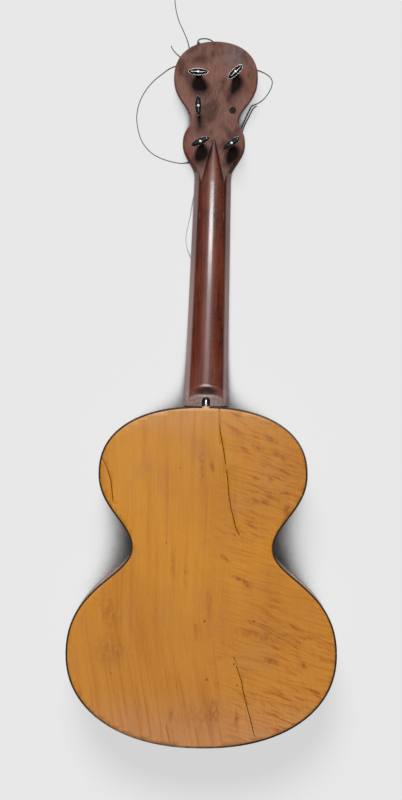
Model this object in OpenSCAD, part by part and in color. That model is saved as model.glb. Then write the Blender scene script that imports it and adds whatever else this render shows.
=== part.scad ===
// Small six-string guitar with an adjustable neck, lying on its face.
// X runs across the body, +Y runs from the tail to the head, +Z points out of the back.
// The origin is on the surface that it lies on, under the middle of its overall box.
// The strings' plane is z = 0: the saddle and the nut touch it. Millimetres.

/* [Body outline] */
// Length of the body from the tail to the neck joint
body_len = 417.6; // [400:1:520]
// Width of the lower bout
lower_w = 332.4; // [300:1:400]
// Width of the waist
waist_w = 174.2; // [150:1:210]
// Width of the upper bout
upper_w = 255.8; // [220:1:300]
// Distance of the widest place of the lower bout from the tail
lower_at = 114.6; // [100:1:135]
// Distance of the waist from the tail
waist_at = 244; // [230:1:275]
// Distance of the widest place of the upper bout from the tail
upper_at = 334; // [315:1:360]

/* [Body plates and ribs] */
// Depth of the body at the crown of the back
body_depth = 86; // [75:1:105]
// Radius of the back's crosswise arch
vault_r = 2500; // [2400:50:4000]
// Thickness of the back
back_t = 2.5; // [2:0.1:3.5]
// Thickness of the soundboard
top_t = 2.5; // [2:0.1:3.5]
// Thickness of the ribs
rib_t = 2; // [1.6:0.1:3]
// Width of the edge binding
binding_w = 2.3; // [1.5:0.1:3.5]
// Width of the linings inside the ribs
lining_w = 5.5; // [4:0.5:8]
// Depth of the linings from the plate that they carry
lining_h = 10; // [8:1:16]
// Radius of the soundhole
soundhole_r = 42; // [36:1:46]
// Distance of the soundhole's centre from the neck joint
soundhole_at = 129; // [126:1:136]
// Inner radius of the rosette
rosette_r = 45; // [44.9:0.1:50]
// Width of the rosette
rosette_w = 5; // [3:0.5:6]
// Depth of the rosette's groove
rosette_t = 1; // [0.6:0.1:1.4]

/* [Blocks and bars] */
// Width of the neck block
neck_block_w = 64; // [50:1:76]
// Length of the neck block along the body
neck_block_l = 22; // [18:1:30]
// Width of the tail block
tail_block_w = 56; // [44:1:70]
// Length of the tail block along the body
tail_block_l = 14; // [12:1:20]
// Width of each bar
bar_w = 8; // [6:0.5:12]
// Height of the bars under the back
back_bar_h = 14; // [11:1:18]
// Height of the bars on the soundboard
top_bar_h = 12; // [11:1:16]

/* [Bridge] */
// Length of the bridge across the body
bridge_w = 150; // [130:1:180]
// Width of the bridge along the body
bridge_l = 26; // [22:1:34]
// Thickness of the bridge
bridge_t = 9; // [7:0.5:10]
// Length of the saddle
saddle_w = 74; // [68:1:84]
// Thickness of the saddle
saddle_t = 2.6; // [2:0.1:4]
// Depth of the saddle's slot in the bridge
saddle_slot = 3; // [2:0.5:4]
// Spacing of the bridge pins
pin_pitch = 11; // [9:0.5:12]
// Radius of a bridge pin's shank
pin_r = 2.4; // [2:0.1:3]
// Length of a bridge pin's shank
pin_len = 20; // [17:1:24]

/* [Neck] */
// Vibrating length of the strings
scale_len = 592; // [490:1:650]
// Turn of the neck away from the body's middle line, degrees
neck_skew = 1.2; // [0:0.1:1.5]
// Sideways place of the neck at its joint
neck_shift = 2.5; // [0:0.1:4]
// Width of the neck at the nut
nut_w = 46; // [42:0.5:52]
// Width of the neck at the body
joint_w = 55.5; // [53:0.5:60]
// Thickness of the neck's wood at the nut
neck_t_nut = 20; // [15:0.5:22]
// Thickness of the neck's wood next to the heel
neck_t_heel = 23.5; // [19:0.5:26]
// Gap between the neck and the body
joint_gap = 0.3; // [0.2:0.05:0.5]
// Half width of the heel's foot
heel_r = 22.6; // [20:0.1:26]
// Length of the heel's foot along the neck
heel_l = 13.4; // [12.6:0.1:18]
// Step of the heel's foot below the crown of the back
heel_step = 1.5; // [0.5:0.5:4]
// Thickness of the fingerboard
fingerboard_t = 4; // [3:0.1:5]
// Length of the fingerboard's tongue over the soundboard
tongue_len = 80; // [70:1:84]
// Gap between the fingerboard's tongue and the soundboard
tongue_gap = 2.5; // [2:0.1:5]
// Height of the nut above the fingerboard
nut_h = 1.2; // [1.1:0.1:1.6]
// Length of the nut along the neck
nut_l = 5; // [4:0.5:7]
// Slope of the fingerboard against the strings, degrees
board_slope = 0.66; // [0.5:0.02:0.8]
// Number of frets
fret_count = 17; // [12:1:17]
// Height of a fret above the fingerboard
fret_h = 1; // [0.8:0.1:1]
// Width of a fret
fret_w = 1.6; // [1.2:0.1:2.2]

/* [Head] */
// Length of the head from the nut
head_len = 163.7; // [150:1:185]
// Thickness of the head
head_t = 13; // [11:0.5:16]
// Lean of the head away from the strings' plane, degrees
head_angle = 4.5; // [4:0.1:9]
// Half width of the head's round end
head_r = 53; // [50:0.5:58]
// Half width of the head's waist
head_waist_r = 30.7; // [30:0.5:34]
// Half width of the head's lower lobe
head_lobe_r = 39.5; // [38:0.5:44]
// Half width of the neck's spear at the nut
spear_r = 12.2; // [10:0.2:14]
// Distance of the spear's point from the nut
spear_len = 43; // [34:1:48]

/* [Pegs] */
// Radius of a peg's shank
peg_r = 4.3; // [3.5:0.05:5.2]
// Running clearance round a peg's shank
peg_fit = 0.05; // [0.03:0.01:0.08]
// Reach of a peg past the head's face
peg_out = 7; // [5:0.5:7]
// Height of a peg's head above the back of the headstock
peg_rise = 23.5; // [20:0.5:28]
// Length of a peg's flattened head
peg_head_l = 25; // [20:0.5:28]
// Thickness of a peg's flattened head
peg_head_t = 7; // [5.5:0.5:9]

/* [Adjusting screw] */
// Radius of the screw's shank
screw_r = 3.2; // [2.6:0.1:3.6]
// Radius of the screw's head
screw_head_r = 3.6; // [3.3:0.1:4]
// Length of the screw's head along the neck
screw_head_l = 10.5; // [8:0.5:12]
// Clearance round the screw in the heel
screw_fit = 0.35; // [0.3:0.05:0.6]
// Depth of the screw's axis below the crown of the back
screw_drop = 13; // [12:0.5:18]
// Width of the open slot above the screw's head
slot_w = 10; // [8.5:0.5:12]
// Length of the open slot from the joint
slot_l = 11.6; // [11.5:0.1:14]

/* [Strings] */
// Diameter of the covered strings
string_d = 1; // [0.9:0.05:1.1]
// Diameter of the thin loose thread
thread_d = 0.6; // [0.5:0.05:0.7]

/* [Hidden] */
$fn = 64;
vault_facets = 1440;
tiny = 0.01;
curve_steps = 16;
lower_power = 2.2;
upper_power = 2.3;
head_power = 2.3;

// Lengths along the middle line and the heights that follow from them
neck_len = scale_len / 2;
board_rise = nut_h + (neck_len + tongue_len) * sin(board_slope) + fingerboard_t + tongue_gap;
neck_reach = (neck_len + head_len * cos(head_angle)) * cos(neck_skew);
tail_y = -(body_len + neck_reach) / 2;
joint_y = tail_y + body_len;
nut_y = joint_y + neck_len;
crown_z = board_rise + body_depth;
vault_z = crown_z - vault_r;
top_inner_z = board_rise + top_t;
under_r = vault_r - back_t;
saddle_y = nut_y - scale_len;
soundhole_y = joint_y - soundhole_at;
face_z = nut_h + fingerboard_t;
heel_z = crown_z - heel_step;
screw_z = crown_z - screw_drop;
screw_bore_r = screw_r + 0.9;
wide = 600;
tall = 200;

// Handles of the curves that join the bouts to the waist
flank_out = 82.5;
flank_in = 35;
rise_out = 30;
rise_in = 42.5;

// Crosswise bars: distance of each from the tail
BACK_BARS = [lower_at - 10, waist_at - 16, upper_at + 10];
TOP_BARS = [saddle_y - tail_y - 55,
            soundhole_y - tail_y - soundhole_r - 14,
            soundhole_y - tail_y + soundhole_r + 10];

// Tuning pegs: distance from the nut, distance from the head's middle line, turn of the grip
PEG_1 = [123.5, -22.3, 0];
PEG_2 = [125, 24, 45];
PEG_3 = [81.5, -21, 94];
PEG_5 = [37.5, -17, 27];
PEG_6 = [36.5, 22, 38];
EMPTY_HOLE = [78.5, 22.3, 0];
PEGS = [PEG_1, PEG_2, PEG_3, PEG_5, PEG_6];

// Edge of the spear: share of its half width, distance from the nut
SPEAR_EDGE = [[1, -2], [0.8, 9], [0.51, 21.5], [0.17, 33.5]];

// Sweep of the heel: reach past its foot, height above the neck's back
HEEL_SWEEP = [[18, -13], [18, 0], [14.5, 1.5], [11, 4.5], [8, 10.5], [5.8, 19], [4.2, 30],
              [3.2, 42], [2.4, 52]];
heel_round = 2;
heel_taper = 10;

// Cracks in the back: width, and points along each
crack_w = 0.7;
CRACK_MAIN = [[18, -14], [18.6, -22.5], [20, -49], [25.3, -77.5], [29.8, -106.5],
              [32, -131], [35, -147], [41, -170], [45, -178]];
CRACK_LOWER = [[40.5, -327], [43, -337], [49.5, -356.5], [52.7, -372.5],
               [56.5, -387], [61.6, -405], [68, -431], [70, -440]];
CRACK_UPPER = [[-131, -75], [-123.5, -86], [-116.8, -98.5], [-112.5, -113],
               [-110.2, -132.5], [-109, -142]];
CRACK_TAIL = [[-42.8, -409], [-40, -420], [-36.3, -432.5], [-34, -442]];

// Loose string ends: each route starts beside its peg, drops to the surface and lies on it
lie = string_d / 2 + 0.1;
lie_thread = thread_d / 2 + 0.1;
STRING_1 = [[-15.2, 403.6, 12.6], [-18.5, 405.4, 11.8], [-23, 407.4, 9.2], [-28, 409.4, 6],
            [-33, 411, 3], [-39.5, 411.5, lie], [-48, 408, lie], [-56, 402, lie],
            [-68, 392, lie], [-78.5, 379, lie], [-86, 363.5, lie], [-89, 346, lie],
            [-87, 329.5, lie], [-81.5, 314, lie], [-71, 301.5, lie], [-58, 294, lie],
            [-43.5, 289.5, lie], [-32, 287.7, lie], [-22.5, 288.6, lie]];
STRING_2 = [[31, 403.6, 12.6], [27.6, 407, 12], [24.6, 410.4, 9.8], [21.4, 414.6, 7],
            [18.2, 419.4, 4.2], [15.6, 424.6, 2], [13.4, 430.4, lie], [11.4, 436.6, lie],
            [8, 442.3, lie], [3, 445.6, lie], [-2.2, 446.8, lie], [-7, 446.6, lie],
            [-10.6, 445.6, lie], [-12.4, 443.2, lie], [-11.6, 440.4, lie]];
STRING_3 = [[-17, 357.3, 9.4], [-17.8, 361, 8.8], [-18.8, 365.6, 7], [-19.8, 370.4, 4.8],
            [-20.6, 375.8, 2.4], [-21.3, 383, lie], [-22, 395, lie], [-22.5, 408, lie],
            [-22.8, 421, lie], [-23.2, 434, lie], [-26, 445, lie], [-31, 456.7, lie],
            [-36.5, 468.7, lie], [-40.4, 483, lie], [-41.8, 495, lie], [-40.6, 504, lie],
            [-36, 510.5, lie]];
STRING_5 = [[-11.8, 308.6, 5.6], [-12.6, 305.4, 5], [-12.8, 301.6, 4], [-12.4, 297, 2.8],
            [-11.9, 292, 1.7], [-11.1, 286, 0.9], [-10.4, 280, 0.7], [-10.4, 275, 0.7],
            [-10.8, 268, 0.6], [-13, 256, 0.5], [-16.4, 243.4, lie_thread],
            [-18.2, 232, lie_thread], [-20, 220.5, lie_thread], [-22.8, 207, lie_thread],
            [-25, 193.8, lie_thread], [-23.8, 181, lie_thread], [-19.4, 169, lie_thread],
            [-13, 159.5, lie_thread]];
STRING_6 = [[37.9, 312.4, 5.6], [38.8, 315.6, 5], [40, 319.6, 3.2], [41.4, 323.8, 1.6],
            [42.8, 328.4, lie], [44.6, 333.5, lie], [47.4, 340, lie], [51, 348, lie],
            [54.4, 355.4, lie], [58, 361.6, lie], [64.2, 364.4, lie], [70.6, 368.8, lie],
            [76.3, 375.2, lie], [81, 383.3, lie], [83, 390.5, lie], [81.8, 396.4, lie],
            [77.3, 401, lie], [70.9, 404.6, lie], [64.5, 407, lie], [57, 407.6, lie],
            [49, 405, lie]];
TAIL_1 = [[-6, 403.4, 13.8], [-8.2, 406.2, 13.2], [-11, 408.6, 12], [-14.4, 411, 10.2],
          [-18, 413, 8.2], [-21.6, 415, 6.2], [-25.2, 417.2, 4.2], [-28.6, 419.2, 2.4],
          [-31.8, 421.2, 1.1], [-34.7, 423.2, lie], [-37.4, 425.4, lie], [-40.2, 428, lie],
          [-42.8, 430.8, lie], [-44.8, 433.8, lie], [-46.3, 437, lie]];
TAIL_6 = [[37.6, 309, 7], [39.6, 310.8, 6.4], [41.4, 313.6, 5.2], [42.8, 317, 3.6],
          [43.9, 320.8, 2], [44.8, 325, lie], [45.9, 329.2, lie], [47.4, 333.6, lie],
          [49.4, 338.4, lie], [51.6, 343, lie], [54, 347.6, lie], [56.2, 352.4, lie],
          [58.2, 356.4, lie], [60.6, 359.4, lie], [63.6, 361.4, lie]];

// ---------- curves ----------

// Points of a cubic curve, without its last point
function bezier(p0, p1, p2, p3) =
    [for (i = [0:curve_steps - 1]) let (t = i / curve_steps, s = 1 - t)
        s * s * s * p0 + 3 * s * s * t * p1 + 3 * s * t * t * p2 + t * t * t * p3];

// Quarter of a bout that closes on the middle line, from there to its widest place
function bout_start(at, half, power) =
    [for (i = [0:curve_steps - 1]) let (a = 90 * i / curve_steps)
        [half * pow(sin(a), 2 / power), at * (1 - pow(cos(a), 2 / power))]];

// Quarter of a bout from its widest place to the middle line, without its last point
function bout_end(at, end, half, power) =
    [for (i = [0:curve_steps - 1]) let (a = 90 * i / curve_steps)
        [half * pow(cos(a), 2 / power), at + (end - at) * pow(sin(a), 2 / power)]];

// Right half of the body's outline, from the tail to the neck joint
function body_half() = concat(
    bout_start(lower_at, lower_w / 2, lower_power),
    bezier([lower_w / 2, lower_at], [lower_w / 2, lower_at + flank_out],
           [waist_w / 2, waist_at - flank_in], [waist_w / 2, waist_at]),
    bezier([waist_w / 2, waist_at], [waist_w / 2, waist_at + rise_out],
           [upper_w / 2, upper_at - rise_in], [upper_w / 2, upper_at]),
    bout_end(upper_at, body_len, upper_w / 2, upper_power),
    [[0, body_len]]);

// Right half of the head's outline, from the nut to the head's end
lobe_at = 36;
head_waist_at = 65;
crest_at = 118;
function head_half() = concat(
    bezier([nut_w / 2, 0], [nut_w / 2 + 8.4, 14], [head_lobe_r, lobe_at - 14], [head_lobe_r, lobe_at]),
    bezier([head_lobe_r, lobe_at], [head_lobe_r, lobe_at + 19],
           [head_waist_r, head_waist_at - 11], [head_waist_r, head_waist_at]),
    bezier([head_waist_r, head_waist_at], [head_waist_r, head_waist_at + 17],
           [head_r, crest_at - 29], [head_r, crest_at]),
    bout_end(crest_at, head_len, head_r, head_power),
    [[0, head_len]]);

// Both sides of an outline whose right half is given from its low end to its high end
function mirrored(half) = concat(half,
    [for (i = [len(half) - 1:-1:0]) if (abs(half[i][0]) > tiny) [-half[i][0], half[i][1]]]);

// Outline moved inwards by a distance, along the normal at each point
function inset(outline, by) = let (n = len(outline))
    [for (i = [0:n - 1]) let (run = outline[(i + 1) % n] - outline[(i + n - 1) % n])
        outline[i] + by * [-run[1], run[0]] / norm(run)];

// Point on a smooth curve through a route, between its points i and i + 1
function along(route, i, t) = let (last = len(route) - 1,
    a = route[max(i - 1, 0)], b = route[i], c = route[i + 1], d = route[min(i + 2, last)])
    0.5 * (2 * b + (c - a) * t + (2 * a - 5 * b + 4 * c - d) * t * t
           + (3 * b - a - 3 * c + d) * t * t * t);

function smooth(route, steps) = concat(
    [for (i = [0:len(route) - 2]) for (s = [0:steps - 1]) along(route, i, s / steps)],
    [route[len(route) - 1]]);

// One ring of a tube, square to the route at its point i
function ring(route, i, r, sides) = let (last = len(route) - 1,
    run = route[min(i + 1, last)] - route[max(i - 1, 0)],
    side = cross(run, [0, 0, 1]) / norm(cross(run, [0, 0, 1])),
    up = cross(side, run) / norm(run))
    [for (k = [0:sides - 1]) route[i] + r * (cos(360 * k / sides) * side + sin(360 * k / sides) * up)];

// ---------- shared shapes ----------

OUTLINE = mirrored(body_half());

module body_prism(by, low, high)
    translate([0, tail_y, low]) linear_extrude(high - low) polygon(inset(OUTLINE, by));

module body_ring(outer, inner, low, high)
    difference() {
        body_prism(outer, low, high);
        body_prism(inner, low - 1, high + 1);
    }

// Everything under an arch of the back's shape
module under_arch(r)
    translate([0, wide, vault_z]) rotate([90, 0, 0]) cylinder(h = 2 * wide, r = r, $fn = vault_facets);

module left_half()
    translate([-wide, -wide, -1]) cube([wide, 2 * wide, tall]);

module right_half()
    translate([0, -wide, -1]) cube([wide, 2 * wide, tall]);

// Frame of the neck: origin on the strings' plane under the nut's front face, +Y towards the head
module at_neck()
    translate([neck_shift, joint_y, 0]) rotate([0, 0, -neck_skew]) translate([0, neck_len, 0]) children();

// Frame of the fingerboard: its playing face is z = 0
module at_fingerboard()
    at_neck() translate([0, 0, nut_h]) rotate([-board_slope, 0, 0]) children();

// Frame of the head: its face is z = 0 and its back is z = head_t
module at_head()
    at_neck() translate([0, 0, face_z]) rotate([head_angle, 0, 0]) children();

// The neck's side of the joint with the body
module clear_of_body()
    translate([-wide / 2, joint_y + joint_gap, -tall / 2]) cube([wide, wide, 2 * tall]);

module screw_line(r, from, to)
    at_neck() translate([0, from - neck_len, screw_z]) rotate([-90, 0, 0]) cylinder(h = to - from, r = r);

module tube(route, d, steps) {
    path = smooth(route, steps);
    sides = 8;
    rings = len(path);
    points = [for (i = [0:rings - 1]) each ring(path, i, d / 2, sides)];
    walls = [for (i = [0:rings - 2]) for (k = [0:sides - 1]) each let (
        a = i * sides + k, b = i * sides + (k + 1) % sides)
        [[a, b, b + sides], [a, b + sides, a + sides]]];
    low_end = [[for (k = [sides - 1:-1:0]) k]];
    high_end = [[for (k = [0:sides - 1]) (rings - 1) * sides + k]];
    polyhedron(points = points, faces = concat(walls, low_end, high_end));
}

// Flat shape of a crack, thin at its inner end
function crack_edge(line, w, side) = let (last = len(line) - 1)
    [for (i = [0:last]) let (run = line[min(i + 1, last)] - line[max(i - 1, 0)])
        line[i] + side * w / 2 * [-run[1], run[0]] / norm(run)];

module crack(line, w) {
    left = crack_edge(line, w, 1);
    right = crack_edge(line, w, -1);
    linear_extrude(tall) polygon(concat(left, [for (i = [len(right) - 1:-1:0]) right[i]]));
}

// ---------- body ----------

module back_plate() color([0.78, 0.52, 0.22])
    difference() {
        intersection() {
            body_prism(binding_w, top_inner_z, tall);
            under_arch(vault_r);
        }
        under_arch(under_r);
        crack(CRACK_MAIN, crack_w);
        crack(CRACK_LOWER, crack_w);
        crack(CRACK_UPPER, crack_w);
        crack(CRACK_TAIL, crack_w / 2);
    }

module back_binding() color([0.16, 0.1, 0.06])
    difference() {
        intersection() {
            body_ring(0, binding_w, top_inner_z, tall);
            under_arch(vault_r);
        }
        under_arch(under_r);
        at_neck() translate([-slot_w / 2, -neck_len - slot_w, 0]) cube([slot_w, 2 * slot_w, tall]);
    }

module rib_wall()
    difference() {
        intersection() {
            body_ring(0, rib_t, top_inner_z, tall);
            under_arch(under_r);
        }
        screw_line(screw_bore_r, -2 * rib_t, 2 * rib_t);
    }

module rib_left() color([0.7, 0.45, 0.2])
    intersection() {
        rib_wall();
        left_half();
    }

module rib_right() color([0.7, 0.45, 0.2])
    intersection() {
        rib_wall();
        right_half();
    }

module soundboard() color([0.85, 0.66, 0.38])
    difference() {
        body_prism(binding_w, board_rise, top_inner_z);
        translate([0, soundhole_y, 0]) cylinder(h = tall, r = soundhole_r);
        rosette_groove();
        pin_holes(pin_r);
    }

module top_binding() color([0.16, 0.1, 0.06])
    body_ring(0, binding_w, board_rise, top_inner_z);

module rosette_groove()
    translate([0, soundhole_y, board_rise])
        difference() {
            translate([0, 0, -tiny]) cylinder(h = rosette_t + tiny, r = rosette_r + rosette_w);
            translate([0, 0, -1]) cylinder(h = rosette_t + 2, r = rosette_r);
        }

module rosette() color([0.2, 0.14, 0.1])
    translate([0, soundhole_y, board_rise])
        difference() {
            cylinder(h = rosette_t, r = rosette_r + rosette_w);
            translate([0, 0, -1]) cylinder(h = rosette_t + 2, r = rosette_r);
        }

module neck_block_space()
    translate([-neck_block_w / 2, joint_y - rib_t - neck_block_l, 0]) cube([neck_block_w, 3 * neck_block_l, tall]);

module tail_block_space()
    translate([-tail_block_w / 2, tail_y - tail_block_l, 0])
        cube([tail_block_w, 2 * tail_block_l + rib_t, tall]);

module neck_block() color([0.72, 0.6, 0.42])
    difference() {
        intersection() {
            body_prism(rib_t, top_inner_z, tall);
            under_arch(under_r);
            neck_block_space();
        }
        screw_line(screw_bore_r, -2 * neck_block_l, 2 * rib_t);
    }

module tail_block() color([0.72, 0.6, 0.42])
    intersection() {
        body_prism(rib_t, top_inner_z, tall);
        under_arch(under_r);
        tail_block_space();
    }

module top_lining()
    difference() {
        body_ring(rib_t, rib_t + lining_w, top_inner_z, top_inner_z + lining_h);
        neck_block_space();
        tail_block_space();
    }

module back_lining()
    difference() {
        intersection() {
            body_ring(rib_t, rib_t + lining_w, top_inner_z, tall);
            under_arch(under_r);
        }
        under_arch(under_r - lining_h);
        neck_block_space();
        tail_block_space();
    }

module top_lining_left() color([0.8, 0.68, 0.48])
    intersection() {
        top_lining();
        left_half();
    }

module top_lining_right() color([0.8, 0.68, 0.48])
    intersection() {
        top_lining();
        right_half();
    }

module back_lining_left() color([0.8, 0.68, 0.48])
    intersection() {
        back_lining();
        left_half();
    }

module back_lining_right() color([0.8, 0.68, 0.48])
    intersection() {
        back_lining();
        right_half();
    }

module bar_strip(at)
    intersection() {
        body_prism(rib_t + lining_w, top_inner_z, tall);
        translate([-wide / 2, tail_y + at - bar_w / 2, 0]) cube([wide, bar_w, tall]);
    }

module back_bar(at) color([0.8, 0.68, 0.48])
    difference() {
        intersection() {
            bar_strip(at);
            under_arch(under_r);
        }
        under_arch(under_r - back_bar_h);
    }

module top_bar(at) color([0.8, 0.68, 0.48])
    intersection() {
        bar_strip(at);
        translate([-wide / 2, -wide, 0]) cube([wide, 2 * wide, top_inner_z + top_bar_h]);
    }

module back_bar_1() back_bar(BACK_BARS[0]);
module back_bar_2() back_bar(BACK_BARS[1]);
module back_bar_3() back_bar(BACK_BARS[2]);
module top_bar_1() top_bar(TOP_BARS[0]);
module top_bar_2() top_bar(TOP_BARS[1]);
module top_bar_3() top_bar(TOP_BARS[2]);

// ---------- bridge ----------

bridge_mid_w = 92;
bridge_low_z = board_rise - bridge_t;
bridge_mid_y = saddle_y - 6;
pin_y = saddle_y - 12;
pin_head_r = 3.4;
pin_head_h = 2.2;
pin_count = 6;

module pin_holes(r)
    for (i = [0:pin_count - 1])
        translate([(i - (pin_count - 1) / 2) * pin_pitch, pin_y, -1]) cylinder(h = 60, r = r);

module saddle_block(low, high)
    translate([-saddle_w / 2, saddle_y - saddle_t / 2, low]) cube([saddle_w, saddle_t, high - low]);

// One thinner wing of the bridge, falling towards its end
wing_t = 6;
wing_end_t = 2.4;
module bridge_wing()
    translate([0, bridge_mid_y + bridge_l / 2, board_rise]) rotate([90, 0, 0])
        linear_extrude(bridge_l) polygon([[bridge_mid_w / 2 - tiny, 0], [bridge_w / 2, 0],
            [bridge_w / 2, -wing_end_t], [bridge_mid_w / 2 + wing_t, -wing_t],
            [bridge_mid_w / 2 - tiny, -wing_t]]);

module bridge() color([0.1, 0.08, 0.07])
    difference() {
        union() {
            translate([-bridge_mid_w / 2, bridge_mid_y - bridge_l / 2, bridge_low_z])
                cube([bridge_mid_w, bridge_l, bridge_t]);
            bridge_wing();
            mirror([1, 0, 0]) bridge_wing();
        }
        saddle_block(bridge_low_z - 1, bridge_low_z + saddle_slot);
        pin_holes(pin_r);
    }

module saddle() color([0.9, 0.88, 0.8])
    saddle_block(0, bridge_low_z + saddle_slot);

module bridge_pins() color([0.08, 0.07, 0.07])
    for (i = [0:pin_count - 1])
        translate([(i - (pin_count - 1) / 2) * pin_pitch, pin_y, bridge_low_z]) {
            cylinder(h = pin_len, r = pin_r);
            translate([0, 0, -pin_head_h]) cylinder(h = pin_head_h, r1 = pin_head_r - 1, r2 = pin_head_r);
        }

bridge_plate_w = 116;
bridge_plate_l = 38;
bridge_plate_t = 2.5;

module bridge_plate() color([0.8, 0.68, 0.48])
    difference() {
        translate([-bridge_plate_w / 2, bridge_mid_y - bridge_plate_l / 2, top_inner_z])
            cube([bridge_plate_w, bridge_plate_l, bridge_plate_t]);
        pin_holes(pin_r);
    }

// Iron bush of the adjusting screw, on the inner face of the neck block
bush_r = 7.5;
bush_len = 8;
module screw_socket() color([0.35, 0.33, 0.32])
    difference() {
        screw_line(bush_r, -rib_t - neck_block_l - bush_len, -rib_t - neck_block_l);
        screw_line(screw_bore_r, -2 * wide, wide);
        translate([-wide / 2, joint_y - rib_t - neck_block_l, 0]) cube([wide, wide, tall]);
    }

// ---------- neck ----------

// Round-backed section of the neck, its flat face on z = 0
neck_power = 2;
function neck_section(w, depth) =
    [for (a = [0:10:180]) [w / 2 * (cos(a) < 0 ? -1 : 1) * pow(abs(cos(a)), 2 / neck_power),
        depth * pow(sin(a), 2 / neck_power)]];

function neck_w_at(back) = nut_w + (joint_w - nut_w) * back / neck_len;

module neck_slice(back, w, depth)
    translate([0, -back, fingerboard_t]) rotate([90, 0, 0]) linear_extrude(tiny) polygon(neck_section(w, depth));

// The neck's wood from the nut into the heel
shoulder = 12;
module neck_wood()
    at_fingerboard() {
        hull() {
            neck_slice(shoulder, neck_w_at(shoulder), neck_t_nut);
            neck_slice(neck_len + 2, neck_w_at(neck_len + 2), neck_t_heel);
        }
        hull() {
            neck_slice(shoulder, neck_w_at(shoulder), neck_t_nut);
            neck_slice(-1, nut_w, head_t);
        }
    }

// Upright foot of the heel, an oval about the joint's middle that narrows towards its cap
neck_back_z = face_z + neck_len * sin(board_slope) + neck_t_heel;
heel_sweep = [for (p = HEEL_SWEEP) [heel_l + p[0], neck_back_z + p[1]]];
heel_edge = [for (a = [0:30:90])
    [heel_l - heel_round * (1 - cos(a)), heel_z - heel_round * (1 - sin(a))]];
module heel()
    at_neck() translate([0, -neck_len, 0]) intersection() {
        scale([heel_r / heel_l, 1, 1]) rotate_extrude()
            polygon(concat([[0, heel_sweep[0][1]]], heel_sweep, heel_edge, [[0, heel_z]]));
        rotate([90, 0, 0]) translate([0, 0, 1 - neck_len]) linear_extrude(neck_len)
            polygon([[-joint_w / 2, 0], [joint_w / 2, 0], [joint_w / 2, neck_back_z - heel_taper],
                [heel_r, heel_z], [-heel_r, heel_z], [-joint_w / 2, neck_back_z - heel_taper]]);
    }

// V-shaped tongue of the neck, seen from the back, that is let into the head
spear_half = concat([for (p = SPEAR_EDGE) [spear_r * p[0], p[1]]], [[0, spear_len]]);
module graft_plan(high)
    at_neck() linear_extrude(high) polygon(mirrored(spear_half));

graft_floor = 6;
module above_graft_floor()
    at_head() translate([-wide / 2, -wide / 2, graft_floor]) cube([wide, wide, tall]);

module graft_socket()
    intersection() {
        graft_plan(tall);
        above_graft_floor();
    }

// Ridge of the spear, from the neck's full depth down to the head's back
ridge_tip = 1;
module spear_ridge()
    hull() {
        at_fingerboard() neck_slice(shoulder, 2 * spear_r, neck_t_nut);
        at_fingerboard() neck_slice(-shoulder / 2, 1.6 * spear_r, neck_t_nut - ridge_tip);
        at_head() translate([-spear_r, -ridge_tip, ridge_tip]) cube([2 * spear_r, ridge_tip, head_t - 2]);
        at_head() translate([-ridge_tip / 2, spear_len - ridge_tip, ridge_tip])
            cube([ridge_tip, 2 * ridge_tip, head_t - ridge_tip]);
    }

// Slot of the adjusting screw, open towards the back and the body, with a round end
module screw_slot()
    at_neck() translate([0, slot_l - slot_w / 2 - neck_len, screw_z]) {
        cylinder(h = tall, r = slot_w / 2);
        translate([-slot_w / 2, -slot_l, 0]) cube([slot_w, slot_l, tall]);
    }

module neck_shaft() color([0.42, 0.2, 0.12])
    difference() {
        intersection() {
            union() {
                difference() {
                    neck_wood();
                    at_neck() translate([-wide / 2, 0, -1]) cube([wide, wide, tall]);
                }
                heel();
                intersection() {
                    spear_ridge();
                    graft_socket();
                }
            }
            clear_of_body();
        }
        screw_line(screw_head_r + screw_fit, -1, 3 * heel_r);
        screw_slot();
    }

module head_blank()
    at_head() linear_extrude(head_t) polygon(concat(mirrored(head_half()),
        [[-nut_w / 2, -3], [nut_w / 2, -3]]));

module peg_place(peg)
    at_head() translate([peg[1], peg[0], 0]) rotate([0, 0, peg[2]]) children();

module headstock() color([0.4, 0.27, 0.22])
    difference() {
        head_blank();
        at_neck() translate([-wide / 2, -wide, -1]) cube([wide, wide, tall]);
        graft_socket();
        for (peg = PEGS) peg_place(peg) translate([0, 0, -1]) cylinder(h = head_t + 2, r = peg_r + peg_fit);
        peg_place(EMPTY_HOLE) translate([0, 0, -1]) cylinder(h = head_t + 2, r = peg_r + peg_fit);
    }

function fret_back(n) = scale_len * (1 - pow(2, -n / 12));
fret_slot_w = 0.6;
fret_tang = 1.6;

module fingerboard_plan(low, high)
    translate([0, 0, low]) linear_extrude(high - low)
        polygon([[-nut_w / 2, 1], [nut_w / 2, 1],
            [neck_w_at(neck_len + tongue_len) / 2, -neck_len - tongue_len],
            [-neck_w_at(neck_len + tongue_len) / 2, -neck_len - tongue_len]]);

module fingerboard() color([0.1, 0.08, 0.07])
    difference() {
        at_fingerboard() fingerboard_plan(0, fingerboard_t);
        at_neck() translate([-wide / 2, 0, -1]) cube([wide, wide, tall]);
        at_fingerboard() for (n = [1:fret_count])
            translate([-wide / 2, -fret_back(n) - fret_slot_w / 2, -1]) cube([wide, fret_slot_w, fret_tang + 1]);
    }

module frets() color([0.75, 0.68, 0.45])
    at_fingerboard() for (n = [1:fret_count])
        intersection() {
            union() {
                translate([-wide / 2, -fret_back(n) - fret_slot_w / 2, -tiny])
                    cube([wide, fret_slot_w, fret_tang + tiny]);
                translate([-wide / 2, -fret_back(n) - fret_w / 2, -fret_h]) cube([wide, fret_w, fret_h]);
            }
            fingerboard_plan(-fret_h, fingerboard_t);
        }

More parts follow.
